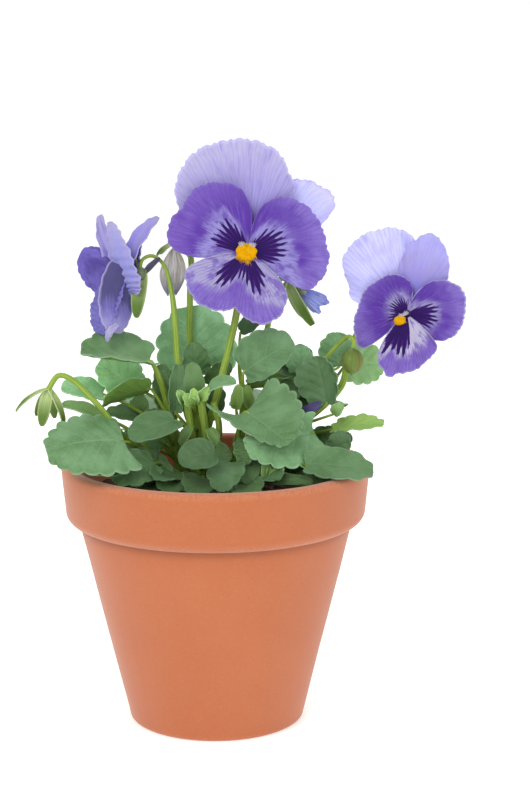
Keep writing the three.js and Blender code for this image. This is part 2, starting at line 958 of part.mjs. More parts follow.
const blooms = {
  main: {
    centre: [13.5, -12, 200.4],
    facing: [0, -1, 0.06],
    upward: [0, 0, 1],
    stem: "middle_stem",
    upper: [
      {
        angle: 98, layer: -0.6, tilt: -6, columns: 9,
        rim: [
          [38, 13], [41, 21], [45, 27.2], [50, 30.8], [55, 34.1], [63, 37.4], [71, 42.4],
          [82, 45.5], [92, 46.6], [102, 46.8], [114, 47], [120, 46.1], [132, 42.5], [140, 39],
          [146, 34.6], [153, 28], [159, 16],
        ],
      },
      {
        angle: 31, layer: -1.8, tilt: -10, columns: 6,
        rim: [
          [-4, 13], [6, 24], [14, 30], [20, 33.8], [26, 40.4], [30, 42.5], [34, 43.2], [40, 41.8],
          [46, 40.4], [51, 38.4], [56, 36.3], [64, 28], [72, 13],
        ],
      },
    ],
    lower: [
      {
        angle: 147, layer: 0.4, tilt: 2,
        rim: [
          [80, 9], [84, 17], [88, 20], [94, 25.1], [100, 27.6], [113, 30.9], [122, 32.7],
          [130, 33.5], [140, 32.8], [145, 32], [153, 33.6], [162, 34], [170, 33.2], [176, 31.5],
          [181, 27], [186, 20], [190, 10],
        ],
      },
      {
        angle: 14, layer: 0.5, tilt: 2,
        rim: [
          [-39, 9], [-37, 18], [-35, 25.4], [-31, 29.8], [-23, 32], [-17, 33.1], [-9, 33.7],
          [-2, 33.8], [5, 32.8], [13, 32.7], [21, 32.3], [34, 31.4], [42, 30.2], [56, 27.2],
          [63, 24.3], [69, 21.5], [75, 16], [79, 9],
        ],
      },
      {
        angle: 258, layer: 1.4, tilt: 4,
        rim: [
          [183, 8], [188, 16], [192, 23], [199, 27.1], [206, 28], [214, 28.8], [225, 29.3],
          [233, 28.4], [242, 27.2], [251, 25.5], [257, 23.6], [261, 24.7], [269, 27.2],
          [277, 29.6], [284, 30.6], [291, 30.3], [299, 29.2], [307, 26.6], [313, 24.2], [319, 19],
          [325, 9],
        ],
      },
    ],
    eye: [4.3, 3.4, 3],
    eyeAt: [-0.4, 0.9],
    depth: 9,
    sepals: [
      { angle: 90, length: 13 },
      { angle: 20, length: 12 },
      { angle: 160, length: 12 },
      { angle: 235, length: 11 },
      { angle: 305, length: 11 },
    ],
  },
  right: {
    centre: [79.6, -8, 174.7],
    facing: [-0.22, -1, -0.02],
    upward: [0.1, 0, 1],
    stem: "back_right_stem",
    upper: [
      {
        angle: 117, layer: -1.8, tilt: -8, rows: 3, columns: 7,
        rim: [
          [76, 10], [84, 24], [92, 30.8], [100, 34.1], [106, 35.8], [112, 36.7], [118, 37.1],
          [130, 37.9], [137, 37.5], [143, 37.2], [149, 35.5], [156, 31.8], [163, 27.8], [168, 27],
          [175, 23.3], [180, 12],
        ],
      },
      {
        angle: 73, layer: -0.7, tilt: -5, rows: 3, columns: 6,
        rim: [
          [34, 8], [40, 16], [47, 21.8], [52, 24.2], [57, 27], [62, 29.1], [67, 31.1], [72, 33.1],
          [77, 34.3], [81, 34.3], [86, 33.1], [90, 30.8], [95, 29.2], [99, 25.7], [105, 21.9],
          [110, 17.5], [115, 8],
        ],
      },
    ],
    lower: [
      {
        angle: 170, layer: 0.3, tilt: -6, rows: 3,
        rim: [
          [76, 6], [87, 11.3], [95, 13.8], [107, 16.3], [120, 17.8], [127, 18.2], [140, 18.8],
          [150, 19.7], [161, 20.7], [173, 21.1], [183, 21.5], [194, 23.1], [202, 24.2],
          [212, 25.1], [219, 25.5], [224, 25], [227, 22], [230, 14], [232, 7],
        ],
      },
      {
        angle: 13, layer: 0.4, tilt: 4, rows: 3,
        rim: [
          [-46, 6], [-42, 10.5], [-38, 15.5], [-32, 18.2], [-23, 20.5], [-14, 22.4], [-2, 23.6],
          [6, 24.2], [16, 25.1], [25, 25.5], [32, 25.2], [39, 23.9], [46, 22.2], [53, 19.5],
          [61, 16.3], [68, 12.2], [76, 6],
        ],
      },
      {
        angle: 269, layer: 1.4, tilt: 2, rows: 3,
        rim: [
          [228, 7], [233, 13], [237, 17.7], [241, 21.8], [246, 23.8], [252, 25.4], [259, 27.9],
          [263, 27.4], [266, 25.7], [272, 25.3], [280, 24.3], [289, 23.4], [298, 21.4],
          [307, 20.6], [317, 19.1], [322, 17], [325, 12.5], [328, 7],
        ],
      },
    ],
    eye: [3.6, 3, 3],
    eyeAt: [-2.1, -1.6],
    depth: 8,
    sepals: [
      { angle: 90, length: 10 },
      { angle: 20, length: 10 },
      { angle: 160, length: 10 },
      { angle: 235, length: 9 },
      { angle: 305, length: 9 },
    ],
  },
  left: {
    centre: [-36, -0.5, 189.4],
    facing: [-0.93, 0.3, -0.2],
    clear: 4,
    upward: [-0.1, 0, 1],
    stem: "middle_stem",
    upper: [
      {
        base: [-38.5, 1, 190],
        tip: [-47.7, 5, 214.4],
        face: [-0.65, -0.7, -0.2],
        width: 9,
        columns: 2,
      },
      {
        base: [-34.1, -4.5, 183],
        tip: [-43.4, -2, 212],
        face: [-0.7, -0.7, -0.1],
        width: 14,
        cup: -1.5,
        skew: 1.6,
        neck: 12,
        blunt: 5,
        columns: 3,
      },
      {
        base: [-36.6, -0.6, 190.6],
        tip: [-23.3, 2, 213.6],
        face: [-0.6, -0.75, 0.3],
        width: 8,
        arch: 3.5,
        blunt: 9,
        columns: 2,
      },
    ],
    lower: [
      {
        base: [-38.5, 2, 188.5],
        tip: [-56.5, 7, 198],
        face: [-0.25, -0.95, 0],
        width: 19,
        neck: 60,
        cup: -2,
        lean: -0.22,
        columns: 3,
      },
      {
        base: [-37.4, -4.2, 194],
        tip: [-41.3, -10, 166.8],
        face: [-0.4, 0.9, 0.1],
        width: 16.5,
        neck: 45,
        columns: 3,
      },
      {
        base: [-40.6, -0.5, 187],
        tip: [-47.8, -4, 165.4],
        face: [-0.55, -0.8, 0.2],
        width: 14,
        neck: 35,
        columns: 3,
      },
    ],
    core: [[-35.4, -1.6, 190.6], [-40.4, 1.2, 188.6], 2.2],
    depth: 8,
    sepals: [],
  },
};

function eyeSolid(basis, [width, height, ahead], [right, up]) {
  const geometry = new THREE.SphereGeometry(1, 8, 5);
  geometry.scale(width, height, EYE_DEPTH);
  const turn = new THREE.Matrix4().makeBasis(basis.right, basis.up, basis.face);
  geometry.applyMatrix4(turn);
  const middle = basis.centre.clone().addScaledVector(basis.face, ahead);
  middle.addScaledVector(basis.right, right).addScaledVector(basis.up, up);
  geometry.translate(middle.x, middle.y, middle.z);
  return toSolid(geometry);
}

// The hub joins the claws of the petals that share a node
function hub(basis, [low, high]) {
  const geometry = new THREE.CylinderGeometry(HUB_RADIUS, HUB_RADIUS, high - low, 6);
  geometry.rotateX(Math.PI / 2);
  geometry.translate(0, 0, (low + high) / 2);
  geometry.applyMatrix4(new THREE.Matrix4().makeBasis(basis.right, basis.up, basis.face));
  geometry.translate(basis.centre.x, basis.centre.y, basis.centre.z);
  return toSolid(geometry);
}

const extraGreen = { middle_stem: [], back_right_stem: [] };
for (const [name, bloom] of Object.entries(blooms)) {
  const basis = flowerBasis(bloom.centre, bloom.facing, bloom.upward);
  const upper = bloom.upper.map((petal) => petalSolid(petal, basis));
  const lower = bloom.lower.map((petal) => petalSolid(petal, basis));
  if (bloom.core) {
    const [from, to, radius] = bloom.core;
    const petals = [...upper, ...lower, egg(from, to, radius, 6, 4)];
    place(`${name}_bloom_petals`, fuse(petals), "violet_petal");
  } else {
    place(`${name}_bloom_upper_petals`, fuse([...upper, hub(basis, UPPER_HUB)]), "pale_petal");
    place(`${name}_bloom_lower_petals`, fuse([...lower, hub(basis, LOWER_HUB)]), "violet_petal");
    place(`${name}_bloom_eye`, eyeSolid(basis, bloom.eye, bloom.eyeAt), "eye");
  }
  const clear = bloom.clear ?? RECEPTACLE_CLEAR;
  extraGreen[bloom.stem].push(...calyxSolids(basis, bloom.depth, clear, bloom.sepals));
}

// A withered bloom hangs closed from its stalk: five petals folded down into pleats

const FADED_TOP = [-17.9, 20, 199.4];
const FADED_LENGTH = 22.4;
const FADED_RADIUS = 4.1;
const FADED_PLEAT = 0.26;
const FADED_MOUTH = 0.86;

function fadedBloom() {
  const geometry = new THREE.SphereGeometry(1, 15, 7);
  geometry.rotateX(Math.PI / 2);
  const place3 = geometry.attributes.position;
  for (let i = 0; i < place3.count; i++) {
    const [x, y, z] = [place3.getX(i), place3.getY(i), place3.getZ(i)];
    const angle = Math.atan2(y, x);
    const down = (1 - z) / 2;
    const pleat = 1 + FADED_PLEAT * Math.cos(5 * angle + 2.2 * down);
    const swell = FADED_RADIUS * (0.75 + 0.35 * Math.sin(Math.PI * down)) * pleat;
    const ragged = 3 * down * down * Math.cos(5 * angle + 2.2);
    const inside = 1.6 * Math.max(down - FADED_MOUTH, 0);
    const drop = FADED_LENGTH * (down - inside) - ragged * Math.hypot(x, y);
    place3.setXYZ(
      i,
      FADED_TOP[0] + swell * x - 1.6 * down,
      FADED_TOP[1] + swell * y,
      FADED_TOP[2] - drop,
    );
  }
  return toSolid(geometry);
}

place("faded_bloom", fadedBloom(), "faded_petal");

// A bud that is just opening, with furled petals

// The rim of a petal that is still folded up
function furled(length, spread) {
  const shares = [[-1, 0.35], [-0.75, 0.74], [-0.35, 0.9], [0.05, 1], [0.3, 0.93], [0.7, 0.78], [1, 0.35]];
  return shares.map(([turn, far]) => [turn * spread, far * length]);
}

function openingBud() {
  const basis = flowerBasis([33.6, 2.6, 184.4], [0.85, -0.1, -0.5], [0.5, 0, 0.85]);
  const petals = [
    { toward: [0.86, -0.12, -0.42], faces: [-0.3, -0.9, 0.3], rim: furled(15.5, 17) },
    { toward: [0.7, -0.1, -0.75], faces: [-0.4, -0.9, -0.2], rim: furled(15, 15) },
    { toward: [0.84, 0.2, -0.52], faces: [-0.2, 0.9, 0.3], rim: furled(14, 17) },
  ];
  const solids = petals.map((petal) =>
    petalSolid({ belly: 1.2, frill: 0.4, layer: 0.2, columns: 2, rows: 3, ...petal }, basis),
  );
  return fuse([...solids, egg([33, 2.6, 184.8], [39, 2, 181], 1.9, 6, 4)]);
}

place("opening_bud", openingBud(), "pale_petal");

// A round seed pod hangs on a hooked stalk, and a dark bud lies among the leaves

place("seed_pod", egg([57.2, -6, 159.8], [56.8, -6.6, 149.2], 4.6, 9, 6), "seed_pod");
place("dark_bud", egg([35.4, -8, 131], [44.3, -7.4, 137.6], 2.8, 6, 5), "dark_bud");

// The stems are fused last, with the flowers' calyxes

function shootSolid(name, shoot) {
  const [x, y] = shoot.root;
  const foot = SOIL_TOP - ROOT_DEPTH + GAP;
  const route = [[x, y, foot], [x, y, SOIL_TOP], [x, y, SOIL_TOP + 5], ...shoot.stem];
  const solids = [tube(route, STEM_RADIUS, 6, route.length + 1)];
  for (const stalk of shoot.stalks ?? []) {
    solids.push(tube(stalk.route, stalk.radius, 5, Math.round(1.6 * stalk.route.length)));
  }
  for (const blade of shoot.sepals ?? []) solids.push(...leafSolids({ ...sepal, ...blade }));
  for (const leaf of shoot.leaves) solids.push(...leafSolids(leaf));
  solids.push(...(extraGreen[name] ?? []));
  return fuse(solids);
}

for (const [name, shoot] of Object.entries(shoots)) place(name, shootSolid(name, shoot), "leaf");
place("soil", soilSolid(Object.values(shoots).map((shoot) => shoot.root)), "soil");

export default planter;
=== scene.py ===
# A potted pansy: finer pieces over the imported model, in metres, with sizes written in millimetres
import math
import random

import bpy
import numpy as np
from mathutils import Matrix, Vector, noise


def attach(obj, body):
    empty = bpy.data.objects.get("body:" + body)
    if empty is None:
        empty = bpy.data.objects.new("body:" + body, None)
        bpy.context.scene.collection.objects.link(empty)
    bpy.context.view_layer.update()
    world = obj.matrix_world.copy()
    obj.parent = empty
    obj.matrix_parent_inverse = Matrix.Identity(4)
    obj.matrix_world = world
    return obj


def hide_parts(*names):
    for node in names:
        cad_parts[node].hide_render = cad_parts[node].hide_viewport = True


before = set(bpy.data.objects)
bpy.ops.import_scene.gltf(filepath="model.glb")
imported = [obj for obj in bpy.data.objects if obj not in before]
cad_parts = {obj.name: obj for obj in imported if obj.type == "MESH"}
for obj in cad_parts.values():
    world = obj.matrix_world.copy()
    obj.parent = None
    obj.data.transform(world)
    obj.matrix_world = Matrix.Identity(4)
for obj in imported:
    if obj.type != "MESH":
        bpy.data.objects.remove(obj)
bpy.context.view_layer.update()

mm = 0.001
print("frame loaded:", len(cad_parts), "nodes")

# Small tools for objects and meshes


def choose(*objects):  # makes these the only selected objects, the first one active
    bpy.ops.object.select_all(action="DESELECT")
    for obj in objects:
        obj.select_set(True)
    bpy.context.view_layer.objects.active = objects[0]


def flatGrid(columns, rows):  # x runs across and y along, both from -1 to 1
    bpy.ops.object.select_all(action="DESELECT")
    bpy.ops.mesh.primitive_grid_add(x_subdivisions=columns, y_subdivisions=rows, size=2)
    return bpy.context.object


def unitSphere(segments, rings):
    bpy.ops.object.select_all(action="DESELECT")
    bpy.ops.mesh.primitive_uv_sphere_add(segments=segments, ring_count=rings, radius=1)
    return bpy.context.object


def readPoints(obj):
    flat = np.empty(len(obj.data.vertices) * 3)
    obj.data.vertices.foreach_get("co", flat)
    return flat.reshape(-1, 3)


def movePoints(obj, points):  # the points are in millimetres
    obj.data.vertices.foreach_set("co", (points * mm).ravel())
    obj.data.update()


def tag(obj, name, *columns):  # writes three numbers a point, which a material reads by name
    count = len(obj.data.vertices)
    values = np.stack([np.broadcast_to(column, count) for column in columns], axis=1)
    layer = obj.data.attributes.new(name, "FLOAT_VECTOR", "POINT")
    layer.data.foreach_set("vector", values.astype(np.float32).ravel())


def applyAll(obj):
    choose(obj)
    for modifier in list(obj.modifiers):
        bpy.ops.object.modifier_apply(modifier=modifier.name)


def thicken(obj, thickness):  # the under side takes the second material
    shell = obj.modifiers.new("thickness", "SOLIDIFY")
    shell.thickness = thickness * mm
    shell.offset = 0
    shell.material_offset = 1
    applyAll(obj)


def seal(obj):  # closes seams, poles and open ends, and turns every face outwards
    choose(obj)
    bpy.ops.object.mode_set(mode="EDIT")
    bpy.ops.mesh.select_all(action="SELECT")
    bpy.ops.mesh.remove_doubles(threshold=0.001 * mm)
    bpy.ops.mesh.fill_holes(sides=0)
    bpy.ops.mesh.select_all(action="SELECT")
    bpy.ops.mesh.normals_make_consistent(inside=False)
    bpy.ops.object.mode_set(mode="OBJECT")


def joined(parts):
    choose(*parts)
    if len(parts) > 1:
        bpy.ops.object.join()
    return bpy.context.object


def finished(obj, name, nodes, angle=50):  # names the piece and ties it to the frame
    obj.name = name
    obj.data.name = name
    choose(obj)
    bpy.ops.object.shade_smooth_by_angle(angle=math.radians(angle))
    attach(obj, "root")
    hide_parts(*nodes)
    return obj


# Small tools for places and curves


def unit(vector):
    vector = np.array(vector, float)
    return vector / np.linalg.norm(vector)


def bladeFrame(base, along, face):  # a blade's root, the way it runs, its side and its upper face
    a = unit(along)
    n = unit(np.array(face, float) - np.dot(face, a) * a)
    side = np.cross(a, n)
    origin = np.array(base, float)
    return lambda x, y, h: origin + np.outer(x, a) + np.outer(y, side) + np.outer(h, n)


def smoothRoute(points, steps):  # a centripetal curve through the points, with even steps
    p = [np.array(q, float) for q in points]
    p = [2 * p[0] - p[1], *p, 2 * p[-1] - p[-2]]
    dense = []
    for a, b, c, d in zip(p, p[1:], p[2:], p[3:]):
        ab, bc, cd = [math.sqrt(np.linalg.norm(y - x)) for x, y in ((a, b), (b, c), (c, d))]
        leave = ((b - a) / ab - (c - a) / (ab + bc) + (c - b) / bc) * bc
        arrive = ((c - b) / bc - (d - b) / (bc + cd) + (d - c) / cd) * bc
        for u in np.linspace(0, 1, 16, endpoint=False):
            early = (1 + 2 * u) * (1 - u) ** 2 * b + u * (1 - u) ** 2 * leave
            late = u * u * (3 - 2 * u) * c + u * u * (u - 1) * arrive
            dense.append(early + late)
    dense = np.array([*dense, p[-2]])
    reach = np.concatenate([[0], np.cumsum(np.linalg.norm(np.diff(dense, axis=0), axis=1))])
    even = np.linspace(0, reach[-1], steps + 1)
    return np.stack([np.interp(even, reach, dense[:, i]) for i in range(3)], axis=1)


middling = (0.5, 0.5, 0.5)
tubeStep = 1.3  # how far apart a tube's rings are


def makeTube(points, radii, material, sides, ridge, tone=middling):
    # radii are spread evenly from the start to the end; ridge makes it five-sided
    length = sum(np.linalg.norm(np.subtract(a, b)) for a, b in zip(points, points[1:]))
    steps = max(8, int(length / tubeStep))
    route = smoothRoute(points, steps)
    tangents = np.gradient(route, axis=0)
    normal = np.array([0.31, -0.95, 0.07])
    sideways = []
    for tangent in tangents:
        tangent /= np.linalg.norm(tangent)
        normal = unit(normal - np.dot(normal, tangent) * tangent)
        sideways.append(normal)
    sideways = np.array(sideways)
    upwards = np.cross(tangents, sideways)
    obj = flatGrid(sides, steps)
    grid = readPoints(obj)
    row = np.rint((grid[:, 1] + 1) / 2 * steps).astype(int)
    angle = grid[:, 0] * math.pi
    size = np.interp(row / steps, np.linspace(0, 1, len(radii)), radii) * (1 + ridge * np.cos(5 * angle))
    ring = sideways[row] * np.cos(angle)[:, None] + upwards[row] * np.sin(angle)[:, None]
    movePoints(obj, route[row] + ring * size[:, None])
    tag(obj, "tone", *tone)
    obj.data.materials.append(material)
    return obj


def makeEgg(start, end, radius, material, segments=28, rings=20, shape=None):
    # shape(around, down) gives how much wider it is there; down runs from 0 to 1 along the axis
    obj = unitSphere(segments, rings)
    ball = readPoints(obj)
    around = np.arctan2(ball[:, 1], ball[:, 0])
    down = (1 - ball[:, 2]) / 2
    wide = radius * (shape(around, down) if shape else 1)
    axis = np.array(end, float) - np.array(start, float)
    place = bladeFrame(start, axis, (0.2, -0.9, 0.3))
    x = np.linalg.norm(axis) * down
    movePoints(obj, place(x, ball[:, 0] * wide, ball[:, 1] * wide))
    tag(obj, "body", around, down, 0)
    tag(obj, "tone", *middling)
    obj.data.materials.append(material)
    seal(obj)
    return obj


# Shader maths: a wire is a socket that takes plain arithmetic


def arithmetic(operation):  # a sign between two wires, for a wire that comes first or last
    def first(self, other):
        return self.paint.maths(operation, self, other)

    def last(self, other):
        return self.paint.maths(operation, other, self)

    return first, last


class Wire:
    __add__, __radd__ = arithmetic("ADD")
    __sub__, __rsub__ = arithmetic("SUBTRACT")
    __mul__, __rmul__ = arithmetic("MULTIPLY")
    __truediv__, __rtruediv__ = arithmetic("DIVIDE")
    __pow__ = arithmetic("POWER")[0]

    def __init__(self, paint, socket):
        self.paint = paint
        self.socket = socket

    def __neg__(self):
        return self * -1.0

    def __abs__(self):
        return self.paint.maths("ABSOLUTE", self)


def colour(red, green, blue):  # a colour as it looks on screen, from 0 to 255, made linear
    parts = [part / 255 for part in (red, green, blue)]
    return (*[p / 12.92 if p <= 0.04045 else ((p + 0.055) / 1.055) ** 2.4 for p in parts], 1.0)


def colours(**shades):
    return {name: colour(*parts) for name, parts in shades.items()}


def soft(weight, radius, depth):  # light that spreads a little below the surface
    return {"Subsurface Weight": weight, "Subsurface Radius": radius, "Subsurface Scale": depth * mm}


class Paint:  # one material, with the Principled shader's fixed values given by name
    def __init__(self, name, fixed):
        self.material = bpy.data.materials.new(name)
        self.material.use_nodes = True
        self.tree = self.material.node_tree
        self.shader = self.tree.nodes["Principled BSDF"]
        self.shade = None
        for socket, value in fixed.items():
            self.shader.inputs[socket].default_value = value

    def node(self, kind, settings=None, values=None, output=0):
        made = self.tree.nodes.new(kind)
        for key, value in (settings or {}).items():
            if key == "stops":
                self.setStops(made.color_ramp, value)
            else:
                setattr(made, key, value)
        for key, value in (values or {}).items():
            self.feed(made.inputs[key], value)
        return Wire(self, made.outputs[output])

    def setStops(self, ramp, stops):
        while len(ramp.elements) < len(stops):
            ramp.elements.new(0.5)
        for element, (position, shade) in zip(ramp.elements, stops):
            element.position = position
            element.color = shade

    def feed(self, socket, value):
        if isinstance(value, Wire):
            self.tree.links.new(value.socket, socket)
        else:
            socket.default_value = value

    def use(self, socketName, value):
        self.feed(self.shader.inputs[socketName], value)

    def maths(self, operation, *values):
        return self.node("ShaderNodeMath", {"operation": operation}, dict(enumerate(values)))

    def smooth(self, value, low, high):  # 0 below low, 1 above high, and soft between
        settings = {"interpolation_type": "SMOOTHSTEP"}
        ranges = {"Value": value, "From Min": low, "From Max": high, "To Min": 0.0, "To Max": 1.0}
        return self.node("ShaderNodeMapRange", settings, ranges)

    def bell(self, value, middle, width):
        away = (value - middle) / width
        return self.maths("EXPONENT", -(away * away))

    def mix(self, share, first, second, how="MIX"):
        settings = {"data_type": "RGBA", "blend_type": how, "clamp_factor": True}
        return self.node("ShaderNodeMix", settings, {0: share, 6: first, 7: second}, 2)

    def cover(self, share, shade, how="MIX"):  # lays a colour over what is painted so far
        self.shade = self.mix(share, self.shade, shade, how)

    def ramp(self, value, stops):
        return self.node("ShaderNodeValToRGB", {"stops": stops}, {"Fac": value})

    def vector(self, x, y, z):
        return self.node("ShaderNodeCombineXYZ", None, {"X": x, "Y": y, "Z": z})

    def split(self, vector):
        parts = self.node("ShaderNodeSeparateXYZ", None, {"Vector": vector})
        return [Wire(self, output) for output in parts.socket.node.outputs]

    def noise(self, vector, scale, detail, roughness):
        values = {"Vector": vector, "Scale": scale, "Detail": detail, "Roughness": roughness}
        return self.node("ShaderNodeTexNoise", None, values)

    def cellEdge(self, vector, scale):
        settings = {"feature": "DISTANCE_TO_EDGE"}
        return self.node("ShaderNodeTexVoronoi", settings, {"Vector": vector, "Scale": scale})

    def objectPlace(self):  # in metres
        return self.node("ShaderNodeTexCoord", None, None, 3)

    def gridPlace(self):
        return self.node("ShaderNodeTexCoord", None, None, 2)

    def tagged(self, name):
        return self.node("ShaderNodeAttribute", {"attribute_name": name}, None, 1)

    def roundBody(self, wide, long):  # a place that runs round a body without a seam, and down it
        around, down, unused = self.split(self.tagged("body"))
        x, y = self.maths("SINE", around) * wide, self.maths("COSINE", around) * wide
        return down, self.vector(x, y, down * long)

    def bump(self, height, distance, strength=1.0):
        values = {"Height": height, "Distance": distance * mm, "Strength": strength}
        self.use("Normal", self.node("ShaderNodeBump", None, values))

# Camera, fitted to the pot's ellipses in the photograph, with the lens for a frame 36 mm high

view = {"place": (20.8, -739.9, 266.6), "pitchDown": 9.807, "lens": 81.15}


def addCamera():
    bpy.ops.object.camera_add(
        location=[mm * x for x in view["place"]],
        rotation=(math.radians(90 - view["pitchDown"]), 0, 0),
    )
    camera = bpy.context.object
    camera.name = "photoCamera"
    camera.data.sensor_fit = "VERTICAL"
    camera.data.sensor_height = 36
    camera.data.lens = view["lens"]
    camera.data.clip_start = 0.01
    bpy.context.scene.camera = camera


studio = {
    "sky": 0.6,
    "floorColour": colour(246, 246, 245),
    "glow": 0.35,
    "reach": 3,
    "sweep": 1.2,
    "wall": 4,
    "lamps": [
        {"name": "keyLamp", "place": (-0.5, -0.95, 1.0), "size": 0.9, "watts": 9.5},
        {"name": "fillLamp", "place": (0.9, -0.8, 0.55), "size": 0.9, "watts": 3.5},
        {"name": "backLamp", "place": (0.25, 0.95, 1.0), "size": 0.8, "watts": 5},
    ],
}


def sweptFloor():  # a sheet of pale card that lies flat and then curves up behind
    reach, sweep = studio["reach"], studio["sweep"]
    card = flatGrid(2, 40)
    points = []
    for across, along, unused in readPoints(card):
        share = (along + 1) / 2
        turn = math.radians(90) * min(1, max(0, (share - 0.4) / 0.4))
        flat = reach * (min(share, 0.4) / 0.4 * 2 - 1)
        rise = studio["wall"] * max(0, share - 0.8) / 0.2
        points.append((across * reach, flat + sweep * math.sin(turn), sweep * (1 - math.cos(turn)) + rise))
    movePoints(card, np.array(points) / mm - np.array((0, 0, 0.1)))
    choose(card)
    bpy.ops.object.shade_smooth()
    return card


def addStudio():
    world = bpy.data.worlds.new("softSky")
    world.use_nodes = True
    world.node_tree.nodes["Background"].inputs["Color"].default_value = (1, 1, 1, 1)
    world.node_tree.nodes["Background"].inputs["Strength"].default_value = studio["sky"]
    bpy.context.scene.world = world
    for lamp in studio["lamps"]:
        bpy.ops.object.light_add(type="AREA", location=lamp["place"])
        light = bpy.context.object
        light.name = lamp["name"]
        light.data.energy = lamp["watts"]
        light.data.size = lamp["size"]
        aim = Vector((0, 0, 0.13)) - Vector(lamp["place"])
        light.rotation_euler = aim.to_track_quat("-Z", "Y").to_euler()
    floor = sweptFloor()
    floor.name = "paleFloor"
    paint = Paint("paleFloor", {"Base Color": studio["floorColour"], "Roughness": 0.9})
    paint.shader.inputs["Emission Color"].default_value = (1, 1, 1, 1)
    paint.shader.inputs["Emission Strength"].default_value = studio["glow"]
    floor.data.materials.append(paint.material)
    bpy.context.scene.view_settings.view_transform = "Standard"


addCamera()
addStudio()
print("camera and studio set")

# Flowerpot: the CAD pot's own sizes, turned with more sides and with the clay's small unevenness

flowerpot = {
    "height": 110.8, "rimRadius": 65, "bandHeight": 24.7, "bandFootRadius": 63.4, "bandRounding": 5.2,
    "bodyTopRadius": 58, "footRadius": 37.4, "footRounding": 1.6, "lipRounding": 2.4, "wall": 6.3,
    "floor": 9, "drainRadius": 4.5, "drainCircle": 17, "drainCount": 3, "sides": 168,
    "clay": colour(184, 106, 66), "clayWarm": colour(181, 102, 62), "clayPale": colour(204, 132, 98),
    "darkFleckAndShadow": colour(146, 82, 56), "fleckPale": colour(206, 152, 122),
}
bandFoot = flowerpot["height"] - flowerpot["bandHeight"]


def arc(centreRadius, centreHeight, radius, start, end, steps):
    turns = np.radians(np.linspace(start, end, steps + 1))
    return [(centreRadius + radius * np.cos(a), centreHeight + radius * np.sin(a)) for a in turns]


def potProfile():
    pot = flowerpot
    foot, lip, band = pot["footRounding"], pot["lipRounding"], pot["bandRounding"]
    bodyFoot = (pot["footRadius"], foot)
    bodyTop = (pot["bodyTopRadius"], bandFoot + 0.4)
    innerRim = pot["rimRadius"] - pot["wall"]
    profile = [(r, 0) for r in (0, 8, 16, 24, 32)]
    profile += arc(pot["footRadius"] - foot, foot, foot, -90, -8, 6)
    profile += [tuple(np.add(bodyFoot, np.subtract(bodyTop, bodyFoot) * i / 30)) for i in range(1, 31)]
    profile += arc(pot["bodyTopRadius"] + 0.7, bandFoot + 1.1, 0.8, 185, 260, 4)
    profile += arc(pot["bandFootRadius"] - band, bandFoot + band, band, -75, 0, 12)
    low, high = bandFoot + band, pot["height"] - lip
    for i in range(1, 10):
        share = i / 10
        wide = pot["bandFootRadius"] + (pot["rimRadius"] - pot["bandFootRadius"]) * share
        profile.append((wide, low + (high - low) * share))
    profile += arc(pot["rimRadius"] - lip, high, lip, 4, 90, 9)
    profile += arc(innerRim + lip, high, lip, 90, 180, 9)
    profile += [(pot["bodyTopRadius"] - pot["wall"], bandFoot)]
    profile += [(pot["footRadius"] - pot["wall"] + 1, pot["floor"]), (0, pot["floor"])]
    return np.array(profile)


def rolled(profile, sides):  # turns a profile round the upright axis
    obj = flatGrid(sides, len(profile) - 1)
    grid = readPoints(obj)
    row = np.rint((grid[:, 1] + 1) / 2 * (len(profile) - 1)).astype(int)
    angle = grid[:, 0] * math.pi
    radius, height = profile[row].T
    movePoints(obj, np.stack([radius * np.cos(angle), radius * np.sin(angle), height], axis=1))
    seal(obj)
    return obj


def drillDrains(pot):
    for i in range(flowerpot["drainCount"]):
        angle = 2 * math.pi * (i + 0.25) / flowerpot["drainCount"]
        circle = flowerpot["drainCircle"] * mm
        bpy.ops.object.select_all(action="DESELECT")
        bpy.ops.mesh.primitive_cylinder_add(
            vertices=40,
            radius=flowerpot["drainRadius"] * mm,
            depth=0.03,
            location=(circle * math.cos(angle), circle * math.sin(angle), 0.005),
        )
        drill = bpy.context.object
        cut = pot.modifiers.new("drain", "BOOLEAN")
        cut.operation = "DIFFERENCE"
        cut.object = drill
        applyAll(pot)
        bpy.data.objects.remove(drill)


def unevenClay(pot):  # a kiln-fired pot is never quite true
    points = readPoints(pot)
    for point in points:
        near = Vector(point)
        swell = noise.noise(near * 22) * 0.16 + noise.noise(near * 90 + Vector((5, 2, 1))) * 0.05
        outward = Vector((point[0], point[1], 0))
        if outward.length > 0.03 and point[2] > 0.003:
            point += np.array(outward.normalized() * swell * mm)
    movePoints(pot, points / mm)


